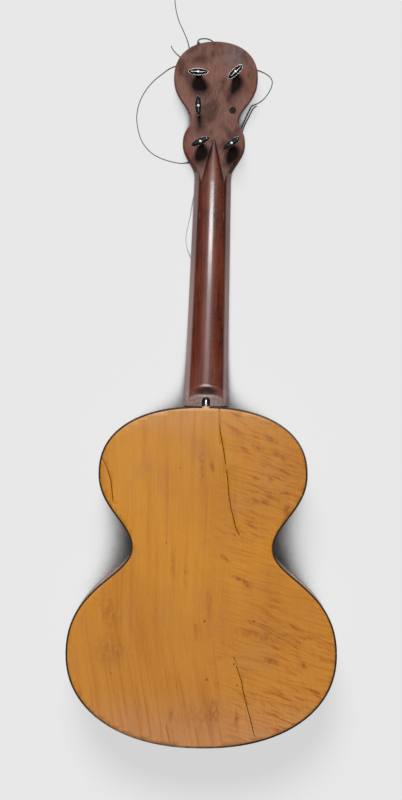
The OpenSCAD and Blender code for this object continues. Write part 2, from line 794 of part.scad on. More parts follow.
nut_slot_w = 1.6;
nut_slot_h = 1.6;
nut_pitch = 7.6;
module nut() color([0.9, 0.88, 0.8])
    at_neck() difference() {
        rotate([90, 0, 90]) translate([0, 0, -nut_w / 2]) linear_extrude(nut_w)
            polygon([[0, 0], [nut_l, 0], [nut_l, face_z + nut_l * tan(head_angle)], [0, face_z]]);
        for (i = [-2.5:1:2.5])
            translate([i * nut_pitch - nut_slot_w / 2, -1, -1]) cube([nut_slot_w, nut_l + 2, nut_slot_h + 1]);
    }

// ---------- adjusting screw ----------

screw_tip_r = 2.4;
screw_start = 0.6;
module key_screw() color([0.62, 0.64, 0.66]) {
    screw_line(screw_r, -rib_t - neck_block_l - bush_len + 2, screw_start + 1);
    screw_line(screw_head_r, screw_start, screw_start + screw_head_l - screw_tip_r);
    at_neck() translate([0, screw_start + screw_head_l - screw_tip_r - neck_len, screw_z])
        rotate([-90, 0, 0]) cylinder(h = screw_tip_r, r1 = screw_head_r, r2 = screw_head_r - 1.4);
}

// ---------- pegs ----------

collar_r = peg_r + 1.2;
collar_h = 3;
collar_gap = 0.3;
dot_r = 1.6;
dot_h = 1.2;
grip_share = 0.58;
grip_mid = head_t + peg_rise * grip_share;
grip_half = head_t + peg_rise - grip_mid;

module peg_grip()
    translate([0, 0, grip_mid]) scale([peg_head_l / 2, peg_head_t / 2, grip_half]) sphere(r = 1);

module dot_space()
    translate([0, 0, head_t + peg_rise - dot_h]) cylinder(h = 2 * dot_h, r = dot_r);

module peg(place) color([0.05, 0.05, 0.05])
    peg_place(place) difference() {
        union() {
            translate([0, 0, -peg_out]) cylinder(h = peg_out + grip_mid, r = peg_r);
            translate([0, 0, head_t + collar_gap]) cylinder(h = collar_h, r = collar_r);
            peg_grip();
        }
        dot_space();
    }

module peg_dot(place) color([0.93, 0.92, 0.88])
    peg_place(place) translate([0, 0, head_t + peg_rise - dot_h]) cylinder(h = dot_h, r = dot_r);

winding_gap = 0.4;
winding_h = 3.5;
module winding(place) color([0.6, 0.55, 0.45])
    peg_place(place) translate([0, 0, -winding_gap - winding_h])
        difference() {
            cylinder(h = winding_h, r = peg_r + string_d);
            translate([0, 0, -1]) cylinder(h = winding_h + 2, r = peg_r);
        }

module peg_1() peg(PEG_1);
module peg_2() peg(PEG_2);
module peg_3() peg(PEG_3);
module peg_5() peg(PEG_5);
module peg_6() peg(PEG_6);
module peg_dot_1() peg_dot(PEG_1);
module peg_dot_2() peg_dot(PEG_2);
module peg_dot_3() peg_dot(PEG_3);
module peg_dot_5() peg_dot(PEG_5);
module peg_dot_6() peg_dot(PEG_6);
module winding_1() winding(PEG_1);
module winding_2() winding(PEG_2);
module winding_3() winding(PEG_3);
module winding_5() winding(PEG_5);
module winding_6() winding(PEG_6);

// ---------- strings ----------

module string_1() color([0.45, 0.4, 0.33]) tube(STRING_1, string_d, 4);
module string_2() color([0.45, 0.4, 0.33]) tube(STRING_2, string_d, 3);
module string_3() color([0.45, 0.4, 0.33]) tube(STRING_3, string_d, 4);
module string_5() color([0.6, 0.58, 0.55]) tube(STRING_5, thread_d, 4);
module string_6() color([0.45, 0.4, 0.33]) tube(STRING_6, string_d, 3);
module tail_1() color([0.45, 0.4, 0.33]) tube(TAIL_1, string_d, 2);
module tail_6() color([0.45, 0.4, 0.33]) tube(TAIL_6, string_d, 2);

back_plate();
back_binding();
rib_left();
rib_right();
soundboard();
top_binding();
rosette();
neck_block();
tail_block();
top_lining_left();
top_lining_right();
back_lining_left();
back_lining_right();
back_bar_1();
back_bar_2();
back_bar_3();
top_bar_1();
top_bar_2();
top_bar_3();
bridge();
saddle();
bridge_pins();
bridge_plate();
screw_socket();
neck_shaft();
headstock();
fingerboard();
frets();
nut();
key_screw();
peg_1();
peg_2();
peg_3();
peg_5();
peg_6();
peg_dot_1();
peg_dot_2();
peg_dot_3();
peg_dot_5();
peg_dot_6();
winding_1();
winding_2();
winding_3();
winding_5();
winding_6();
string_1();
string_2();
string_3();
string_5();
string_6();
tail_1();
tail_6();
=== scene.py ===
"""A broken guitar lying on its face: cracked maple back, worn dark head, loose strings.

Sizes are in millimetres unless a name ends in _M. Places come from the loaded frame.
Frames used below, each a matrix from its own millimetres to the row's millimetres:
NECK  origin on the strings' plane under the nut's front face, +Y towards the head
BOARD the fingerboard, its playing face on z = 0
HEAD  the head, its face on z = 0 and its back on z = HEAD_T
"""
import math

import bpy
from mathutils import Matrix, Vector


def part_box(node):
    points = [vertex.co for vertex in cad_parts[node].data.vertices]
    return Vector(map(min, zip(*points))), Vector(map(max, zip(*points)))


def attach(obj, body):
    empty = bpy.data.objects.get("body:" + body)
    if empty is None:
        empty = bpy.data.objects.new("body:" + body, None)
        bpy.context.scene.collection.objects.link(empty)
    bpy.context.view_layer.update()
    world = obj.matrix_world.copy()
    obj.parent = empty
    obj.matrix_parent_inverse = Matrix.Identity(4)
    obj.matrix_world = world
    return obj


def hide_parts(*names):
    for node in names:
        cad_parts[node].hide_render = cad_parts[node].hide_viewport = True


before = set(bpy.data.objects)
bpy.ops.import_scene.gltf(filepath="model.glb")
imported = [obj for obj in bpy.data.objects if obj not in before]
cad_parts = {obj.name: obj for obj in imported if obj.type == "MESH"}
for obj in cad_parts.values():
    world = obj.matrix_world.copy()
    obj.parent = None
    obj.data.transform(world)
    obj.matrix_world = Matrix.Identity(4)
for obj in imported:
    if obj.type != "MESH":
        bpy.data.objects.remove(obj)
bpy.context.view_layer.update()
MM = 0.001

# ---------- sizes, in step with the frame ----------

body_low, body_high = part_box("top_binding")
TAIL_Y = body_low.y / MM
JOINT_Y = body_high.y / MM
BODY_LEN = JOINT_Y - TAIL_Y
LOWER_W = (body_high.x - body_low.x) / MM
BOARD_Z = body_low.z / MM
TOP_INNER_Z = body_high.z / MM
CROWN_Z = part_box("back_plate")[1].z / MM
LOWER_AT, WAIST_AT, UPPER_AT = 114.6, 244, 334
WAIST_W, UPPER_W = 174.2, 255.8
VAULT_R = 2500
VAULT_Z = CROWN_Z - VAULT_R
BACK_T, RIB_T, BINDING_W = 2.5, 2, 2.3
SOUNDHOLE_Y, SOUNDHOLE_R = JOINT_Y - 129, 42
ROSETTE_R, ROSETTE_W, ROSETTE_T, CHEQUER_COUNT = 45, 5, 1, 60

NECK_LEN, NECK_SHIFT, NECK_SKEW = 296, 2.5, math.radians(1.2)
NUT_W, JOINT_W, NUT_H, BOARD_T = 46, 55.5, 1.2, 4
NECK_T_NUT, NECK_T_HEEL = 20, 23.5
SLOPE = math.radians(0.66)
FACE_Z = NUT_H + BOARD_T
HEEL_Z = CROWN_Z - 1.5
SCREW_Z = CROWN_Z - 13
JOINT_GAP = 0.3
SLOT_W, SLOT_L, SCREW_HOLE_R = 10, 11.6, 3.95

HEAD_LEN, HEAD_T, HEAD_ANGLE = 163.7, 13, math.radians(4.5)
HEAD_R, HEAD_WAIST_R, HEAD_LOBE_R = 53, 30.7, 39.5
LOBE_AT, HEAD_WAIST_AT, CREST_AT = 36, 65, 118
SPEAR_LEN, SPEAR_R, PRONG_AT = 43, 14.3, -12.6

PEG_R, PEG_OUT, PEG_RISE = 4.3, 7, 23.5
GRIP_L, GRIP_T = 25, 7
# Pegs: distance from the nut, distance from the head's middle line, turn of the grip
PEGS = {"1": (123.5, -22.3, 0), "2": (125, 24, 45), "3": (81.5, -21, 94),
        "5": (37.5, -17, 27), "6": (36.5, 22, 38)}
EMPTY_HOLE = (78.5, 22.3)
SCALE_LEN, FRET_COUNT, FRET_H, FRET_W = 592, 17, 1, 1.6

STRING_D, THREAD_D = 1.0, 0.6
LIE, LIE_THREAD = STRING_D / 2 + 0.1, THREAD_D / 2 + 0.1

NECK = (Matrix.Translation((NECK_SHIFT, JOINT_Y, 0)) @ Matrix.Rotation(-NECK_SKEW, 4, "Z")
        @ Matrix.Translation((0, NECK_LEN, 0)))
BOARD = NECK @ Matrix.Translation((0, 0, NUT_H)) @ Matrix.Rotation(-SLOPE, 4, "X")
HEAD = NECK @ Matrix.Translation((0, 0, FACE_Z)) @ Matrix.Rotation(HEAD_ANGLE, 4, "X")
ROW = Matrix.Identity(4)
# the screw's axis: Z runs from the joint towards the head
SCREW_AXIS = (NECK @ Matrix.Translation((0, -NECK_LEN, SCREW_Z))
              @ Matrix.Rotation(math.radians(-90), 4, "X"))

# ---------- camera ----------

CAMERA_H_M = 2.398
LENS = 84.825
LEAN = 0.0104
bpy.ops.object.camera_add(location=(-0.0035, -0.013, CAMERA_H_M), rotation=(0, 0, LEAN))
camera = bpy.context.active_object
camera.name = "camera"
camera.data.sensor_width = 36
camera.data.lens = LENS
camera.data.clip_end = 50
bpy.context.scene.camera = camera

# ---------- curves ----------

def lerp(a, b, t):
    return a + (b - a) * t


def smooth_step(low, high, x):
    t = min(max((x - low) / (high - low), 0), 1)
    return t * t * (3 - 2 * t)


def bezier(p0, p1, p2, p3, steps):
    """Points of a cubic curve, without its last point."""
    made = []
    for i in range(steps):
        t = i / steps
        s = 1 - t
        made.append(tuple(s**3 * a + 3 * s * s * t * b + 3 * s * t * t * c + t**3 * d
                          for a, b, c, d in zip(p0, p1, p2, p3)))
    return made


def bout_start(at, half, power, steps):
    quarter = [math.pi / 2 * i / steps for i in range(steps)]
    return [(half * math.sin(a) ** (2 / power), at * (1 - math.cos(a) ** (2 / power)))
            for a in quarter]


def bout_end(at, end, half, power, steps):
    quarter = [math.pi / 2 * i / steps for i in range(steps)]
    return [(half * math.cos(a) ** (2 / power), at + (end - at) * math.sin(a) ** (2 / power))
            for a in quarter]


def arc(r, centre, turn, steps):
    """Points on a circle, from its right side through a turn in radians."""
    return [(centre[0] + r * math.cos(turn * i / steps), centre[1] + r * math.sin(turn * i / steps))
            for i in range(steps + 1)]


def body_half():
    """Right half of the body's outline, from the tail to the neck joint."""
    lower, waist, upper, steps = LOWER_W / 2, WAIST_W / 2, UPPER_W / 2, 24
    half = (bout_start(LOWER_AT, lower, 2.2, steps)
            + bezier((lower, LOWER_AT), (lower, LOWER_AT + 82.5),
                     (waist, WAIST_AT - 35), (waist, WAIST_AT), steps)
            + bezier((waist, WAIST_AT), (waist, WAIST_AT + 30),
                     (upper, UPPER_AT - 42.5), (upper, UPPER_AT), steps)
            + bout_end(UPPER_AT, BODY_LEN, upper, 2.3, steps) + [(0, BODY_LEN)])
    return [(x, y + TAIL_Y) for x, y in half]


def head_half():
    """Right half of the head's outline, from the nut to the head's end."""
    steps = 30
    return (bezier((NUT_W / 2, 0), (NUT_W / 2 + 8.4, 14),
                   (HEAD_LOBE_R, LOBE_AT - 14), (HEAD_LOBE_R, LOBE_AT), steps)
            + bezier((HEAD_LOBE_R, LOBE_AT), (HEAD_LOBE_R, LOBE_AT + 19),
                     (HEAD_WAIST_R, HEAD_WAIST_AT - 11), (HEAD_WAIST_R, HEAD_WAIST_AT), steps)
            + bezier((HEAD_WAIST_R, HEAD_WAIST_AT), (HEAD_WAIST_R, HEAD_WAIST_AT + 17),
                     (HEAD_R, CREST_AT - 29), (HEAD_R, CREST_AT), steps)
            + bout_end(CREST_AT, HEAD_LEN, HEAD_R, 2.3, 2 * steps) + [(0, HEAD_LEN)])


def mirrored(half):
    return half + [(-x, y) for x, y in reversed(half) if abs(x) > 0.01]


def inset(outline, by):
    """The outline moved inwards by a distance, along the normal at each point."""
    made = []
    for i, (x, y) in enumerate(outline):
        ahead, behind = outline[(i + 1) % len(outline)], outline[i - 1]
        run = Vector((ahead[0] - behind[0], ahead[1] - behind[1])).normalized()
        made.append((x - by * run.y, y + by * run.x))
    return made


def along(route, i, t):
    """Point on a smooth curve through a route, between its points i and i + 1."""
    a, b = Vector(route[max(i - 1, 0)]), Vector(route[i])
    c, d = Vector(route[i + 1]), Vector(route[min(i + 2, len(route) - 1)])
    return 0.5 * (2 * b + (c - a) * t + (2 * a - 5 * b + 4 * c - d) * t * t
                  + (3 * b - a - 3 * c + d) * t**3)


def smooth(route, steps):
    spans = [along(route, i, s / steps) for i in range(len(route) - 1) for s in range(steps)]
    return spans + [Vector(route[-1])]


BODY_HALF = body_half()
BODY_LINE = mirrored(BODY_HALF)
PLATE_LINE = inset(BODY_LINE, BINDING_W)


def evenly(line, count):
    """The same polyline with that many points, spaced evenly along it."""
    reach = [0.0]
    for a, b in zip(line, line[1:]):
        reach.append(reach[-1] + math.dist(a, b))
    made, k = [], 0
    for i in range(count):
        want = reach[-1] * i / (count - 1)
        while k < len(line) - 2 and reach[k + 1] < want:
            k += 1
        span = (reach[k + 1] - reach[k]) or 1
        t = min(max((want - reach[k]) / span, 0), 1)
        made.append(tuple(lerp(p, q, t) for p, q in zip(line[k], line[k + 1])))
    return made


# ---------- ways of making a piece ----------

def take_up(*pieces):
    """Selects these pieces alone, the first one active."""
    bpy.ops.object.select_all(action="DESELECT")
    for piece in pieces:
        piece.select_set(True)
    bpy.context.view_layer.objects.active = pieces[0]


def edit(piece, *steps):
    """Runs each step in edit mode on the whole piece."""
    take_up(piece)
    bpy.ops.object.mode_set(mode="EDIT")
    bpy.ops.mesh.select_all(action="SELECT")
    for step in steps:
        step()
    bpy.ops.object.mode_set(mode="OBJECT")
    return piece


def outwards():
    bpy.ops.mesh.select_all(action="SELECT")
    bpy.ops.mesh.normals_make_consistent(inside=False)


def merged():
    bpy.ops.mesh.select_all(action="SELECT")
    bpy.ops.mesh.remove_doubles(threshold=0.00001)


def ends_filled():
    bpy.ops.mesh.select_all(action="DESELECT")
    bpy.ops.mesh.select_non_manifold()
    bpy.ops.mesh.edge_face_add()


def smooth_shaded(piece, degrees=35):
    take_up(piece)
    bpy.ops.object.shade_smooth_by_angle(angle=math.radians(degrees))
    return piece


def finished_with(piece, kind, **settings):
    """Adds a modifier and applies it."""
    take_up(piece)
    modifier = piece.modifiers.new(kind.lower(), kind)
    for name, value in settings.items():
        setattr(modifier, name, value)
    bpy.ops.object.modifier_apply(modifier=modifier.name)
    return piece


def eased(piece, width, segments=2, degrees=40):
    finished_with(piece, "BEVEL", width=width * MM, segments=segments, limit_method="ANGLE",
                  angle_limit=math.radians(degrees), harden_normals=False)
    return smooth_shaded(piece, degrees)


def plate(name, outline, low, high, place=ROW):
    """A flat plate: a ring of corners is set on the outline, filled and pulled up."""
    bpy.ops.object.select_all(action="DESELECT")
    bpy.ops.mesh.primitive_circle_add(vertices=len(outline), fill_type="NGON")
    piece = bpy.context.active_object
    piece.name = name
    for corner, (x, y) in zip(piece.data.vertices, outline):
        corner.co = (x, y, low)
    edit(piece, lambda: bpy.ops.mesh.extrude_region_move(
        TRANSFORM_OT_translate={"value": (0, 0, high - low)}), outwards)
    piece.data.transform(Matrix.Scale(MM, 4) @ place)
    return piece


def formed(name, columns, rows, place, closed=False):
    """A grid of faces laid on a form: place(i, j) gives each corner, in millimetres."""
    bpy.ops.object.select_all(action="DESELECT")
    bpy.ops.mesh.primitive_grid_add(x_subdivisions=columns - 1, y_subdivisions=rows - 1)
    piece = bpy.context.active_object
    piece.name = name
    for k, corner in enumerate(piece.data.vertices):
        corner.co = Vector(place(k % columns, k // columns)) * MM
    steps = [merged, ends_filled, outwards] if closed else [merged, outwards]
    return edit(piece, *steps)


def turned(name, profile, place, steps):
    """A turned piece: rings of the profile's (radius, height) about the Z axis of a place."""
    def corner(i, j):
        r, z = profile[j]
        a = 2 * math.pi * i / steps
        return place @ Vector((r * math.cos(a), r * math.sin(a), z))
    return smooth_shaded(formed(name, steps + 1, len(profile), corner, closed=True))


def tube(name, path, r, sides=10):
    """A rod bent along a path, with flat ends."""
    def corner(i, j):
        run = (Vector(path[min(j + 1, len(path) - 1)]) - Vector(path[max(j - 1, 0)])).normalized()
        side = run.cross(Vector((0, 0, 1)))
        side = side.normalized() if side.length > 0.01 else Vector((1, 0, 0))
        up = side.cross(run)
        a = 2 * math.pi * i / sides
        return Vector(path[j]) + r * (math.cos(a) * side + math.sin(a) * up)
    return smooth_shaded(formed(name, sides + 1, len(path), corner, closed=True), 50)


def cut(piece, cutter):
    """Takes the cutter's shape out of the piece, and the cutter out of the scene."""
    bpy.context.view_layer.update()
    finished_with(piece, "BOOLEAN", operation="DIFFERENCE", solver="EXACT", object=cutter)
    bpy.data.objects.remove(cutter)


def rod(r, low, high, place, sides=48):
    """A cylinder along the Z axis of a place, for cutting bores."""
    return plate("cutter", arc(r, (0, 0), 2 * math.pi, sides)[:-1], low, high, place)


def joined(name, pieces):
    take_up(*pieces)
    bpy.ops.object.join()
    pieces[0].name = name
    return pieces[0]


def copied(node, name):
    """A copy of a CAD node with its loose triangles merged, ready to be eased."""
    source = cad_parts[node]
    piece = bpy.data.objects.new(name, source.data.copy())
    bpy.context.scene.collection.objects.link(piece)
    piece.data.materials.clear()
    return edit(piece, merged, lambda: bpy.ops.mesh.dissolve_limited(angle_limit=0.0005))


def settle(piece, body, node, finish):
    """Gives a finished piece its body and its finish, and hides the CAD node it stands for."""
    piece.data.materials.clear()
    piece.data.materials.append(finish)
    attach(piece, body)
    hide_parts(node)


# ---------- strings, the free cords ----------

STRINGS = {
    "string_1": [[-15.2, 403.6, 12.6], [-18.5, 405.4, 11.8], [-23, 407.4, 9.2], [-28, 409.4, 6],
                 [-33, 411, 3], [-39.5, 411.5, LIE], [-48, 408, LIE], [-56, 402, LIE],
                 [-68, 392, LIE], [-78.5, 379, LIE], [-86, 363.5, LIE], [-89, 346, LIE],
                 [-87, 329.5, LIE], [-81.5, 314, LIE], [-71, 301.5, LIE], [-58, 294, LIE],
                 [-43.5, 289.5, LIE], [-32, 287.7, LIE], [-22.5, 288.6, LIE]],
    "string_2": [[31, 403.6, 12.6], [27.6, 407, 12], [24.6, 410.4, 9.8], [21.4, 414.6, 7],
                 [18.2, 419.4, 4.2], [15.6, 424.6, 2], [13.4, 430.4, LIE], [11.4, 436.6, LIE],
                 [8, 442.3, LIE], [3, 445.6, LIE], [-2.2, 446.8, LIE], [-7, 446.6, LIE],
                 [-10.6, 445.6, LIE], [-12.4, 443.2, LIE], [-11.6, 440.4, LIE]],
    "string_3": [[-17, 357.3, 9.4], [-17.8, 361, 8.8], [-18.8, 365.6, 7], [-19.8, 370.4, 4.8],
                 [-20.6, 375.8, 2.4], [-21.3, 383, LIE], [-22, 395, LIE], [-22.5, 408, LIE],
                 [-22.8, 421, LIE], [-23.2, 434, LIE], [-26, 445, LIE], [-31, 456.7, LIE],
                 [-36.5, 468.7, LIE], [-40.4, 483, LIE], [-41.8, 495, LIE], [-40.6, 504, LIE],
                 [-36, 510.5, LIE]],
    "string_5": [[-11.8, 308.6, 5.6], [-12.6, 305.4, 5], [-12.8, 301.6, 4], [-12.4, 297, 2.8],
                 [-11.9, 292, 1.7], [-11.1, 286, 0.9], [-10.4, 280, 0.7], [-10.4, 275, 0.7],
                 [-10.8, 268, 0.6], [-13, 256, 0.5], [-16.4, 243.4, LIE_THREAD],
                 [-18.2, 232, LIE_THREAD], [-20, 220.5, LIE_THREAD], [-22.8, 207, LIE_THREAD],
                 [-25, 193.8, LIE_THREAD], [-23.8, 181, LIE_THREAD], [-19.4, 169, LIE_THREAD],
                 [-13, 159.5, LIE_THREAD]],
    "string_6": [[37.9, 312.4, 5.6], [38.8, 315.6, 5], [40, 319.6, 3.2], [41.4, 323.8, 1.6],
                 [42.8, 328.4, LIE], [44.6, 333.5, LIE], [47.4, 340, LIE], [51, 348, LIE],
                 [54.4, 355.4, LIE], [58, 361.6, LIE], [64.2, 364.4, LIE], [70.6, 368.8, LIE],
                 [76.3, 375.2, LIE], [81, 383.3, LIE], [83, 390.5, LIE], [81.8, 396.4, LIE],
                 [77.3, 401, LIE], [70.9, 404.6, LIE], [64.5, 407, LIE], [57, 407.6, LIE],
                 [49, 405, LIE]],
    "tail_1": [[-6, 403.4, 13.8], [-8.2, 406.2, 13.2], [-11, 408.6, 12], [-14.4, 411, 10.2],
               [-18, 413, 8.2], [-21.6, 415, 6.2], [-25.2, 417.2, 4.2], [-28.6, 419.2, 2.4],
               [-31.8, 421.2, 1.1], [-34.7, 423.2, LIE], [-37.4, 425.4, LIE], [-40.2, 428, LIE],
               [-42.8, 430.8, LIE], [-44.8, 433.8, LIE], [-46.3, 437, LIE]],
    "tail_6": [[37.6, 309, 7], [39.6, 310.8, 6.4], [41.4, 313.6, 5.2], [42.8, 317, 3.6],
               [43.9, 320.8, 2], [44.8, 325, LIE], [45.9, 329.2, LIE], [47.4, 333.6, LIE],
               [49.4, 338.4, LIE], [51.6, 343, LIE], [54, 347.6, LIE], [56.2, 352.4, LIE],
               [58.2, 356.4, LIE], [60.6, 359.4, LIE], [63.6, 361.4, LIE]],
}
KNOTTED, PALE_ONE = "string_2", "string_5"


def knot_on(route):
    """A tight double turn on the end of a string."""
    x, y, z = route[-1]
    path = []
    for i in range(25):
        a = 2 * math.pi * i / 12
        path.append((x + 0.9 * math.cos(a), y - 1.6 + 0.13 * i, z + 1.1 + 0.9 * math.sin(a)))
    return tube(f"{KNOTTED}_knot", path, 0.75, 8)


strands = {}
for node, route in STRINGS.items():
    diameter = THREAD_D if node == PALE_ONE else STRING_D
    line = smooth(route, 5)
    strand = tube(f"{node}_strand", line, diameter / 2)
    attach(strand, "neck")
    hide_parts(node)
    "pale_thread" if node == PALE_ONE else "string_gut"
    strands[node] = strand
    if node == KNOTTED:
        knot = knot_on(route)
        strands[f"{node}_knot"] = knot
        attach(knot, "neck")
    length = sum((b - a).length for a, b in zip(line, line[1:]))
    line[0] * MM
    diameter * MM
    [point * MM for point in line]

# ---------- finishes ----------

class Value:
    """A number or vector that varies over a surface: an output socket with plain arithmetic."""

    def __init__(self, finish, socket):
        self.finish, self.socket = finish, socket

    def math(self, operation, *values):
        return self.finish.node("ShaderNodeMath", {"operation": operation}, values)

    def __add__(self, other):
        return self.math("ADD", self, other)

    def __sub__(self, other):
        return self.math("SUBTRACT", self, other)

    def __mul__(self, other):
        return self.math("MULTIPLY", self, other)

    def __rsub__(self, other):
        return self.math("SUBTRACT", other, self)

    def __abs__(self):
        return self.math("ABSOLUTE", self)

    __radd__ = __add__
    __rmul__ = __mul__


def srgb(r, g, b):
    """A colour given as 0-255 screen values, as the shader's linear values."""
    return tuple((c / 255 / 12.92) if c <= 10 else ((c / 255 + 0.055) / 1.055) ** 2.4
                 for c in (r, g, b)) + (1,)


class Finish:
    """One material being drawn up."""

    def __init__(self, name):
        self.material = bpy.data.materials.new(name)
        self.material.use_nodes = True
        self.tree = self.material.node_tree
        self.shader = self.tree.nodes["Principled BSDF"]
        self.object = self.node("ShaderNodeTexCoord", {}, (), output="Object")
        self.colour = None

    def node(self, kind, settings, values, output=0):
        """Adds a node: its settings first, then the values or links of its sockets."""
        made = self.tree.nodes.new(kind)
        for name, value in settings.items():
            setattr(made, name, value)
        pairs = values.items() if isinstance(values, dict) else enumerate(values)
        for name, value in pairs:
            self.plug(made.inputs[name], value)
        return Value(self, made.outputs[output])

    def plug(self, socket, value):
        if isinstance(value, Value):
            self.tree.links.new(value.socket, socket)
        else:
            socket.default_value = value

    def at(self, centre=(0, 0, 0), turn=(0, 0, 0), unit=(1, 1, 1)):
        """Coordinates of a pattern: its centre and the size of its unit, in mm, and its turn."""
        return self.node("ShaderNodeMapping", {"vector_type": "TEXTURE"},
                         {"Vector": self.object, "Location": [c * MM for c in centre],
                          "Rotation": [math.radians(a) for a in turn],
                          "Scale": [u * MM for u in unit]})

    def noise(self, where, detail=2.0, roughness=0.5, distortion=0.0):
        return self.node("ShaderNodeTexNoise", {},
                         {"Vector": where, "Scale": 1.0, "Detail": detail,
                          "Roughness": roughness, "Distortion": distortion})

    def cells(self, where):
        """Distance from the nearest of many scattered points."""
        return self.node("ShaderNodeTexVoronoi", {}, {"Vector": where, "Scale": 1.0}, "Distance")

    def length(self, where):
        return self.node("ShaderNodeVectorMath", {"operation": "LENGTH"}, [where], "Value")

    def part(self, where, axis):
        return self.node("ShaderNodeSeparateXYZ", {}, [where], axis)

    def between(self, value, low, high):
        """0 below low and 1 above high, with a soft rise, or the reverse where low is above."""
        down = low > high
        if down:
            low, high = high, low
        return self.node("ShaderNodeMapRange", {"interpolation_type": "SMOOTHSTEP"},
                         {"Value": value, "From Min": low, "From Max": high,
                          "To Min": 1.0 if down else 0.0, "To Max": 0.0 if down else 1.0})

    def spot(self, centre, radii, turn=0, soft=0.9):
        """A soft round stain: 1 at its centre and 0 at its radii."""
        where = self.at((*centre, 0), (0, 0, turn), (*radii, 10000))
        return self.between(self.length(where), 1.0, 1.0 - soft)

    def mix(self, a, b, share):
        return self.node("ShaderNodeMix", {"data_type": "RGBA"}, {0: share, 6: a, 7: b}, 2)

    def ground(self, low, high, share):
        """The first colour, between two."""
        self.colour = self.mix(low, high, share)

    def over(self, colour, share):
        """Lays a colour over the colour so far."""
        self.colour = self.mix(self.colour, colour, share)

    def glaze(self, colour, share):
        """Multiplies the colour so far by another, as a stain or glaze does."""
        self.colour = self.node("ShaderNodeMix", {"data_type": "RGBA", "blend_type": "MULTIPLY"},
                                {0: share, 6: self.colour, 7: colour}, 2)

    def bump(self, height, depth):
        """Relief whose full height is depth millimetres."""
        return self.node("ShaderNodeBump", {},
                         {"Strength": 1.0, "Distance": depth * MM, "Height": height})

    def done(self, **sockets):
        for name, value in {"Base_Color": self.colour, **sockets}.items():
            self.plug(self.shader.inputs[name.replace("_", " ")], value)
        return self.material


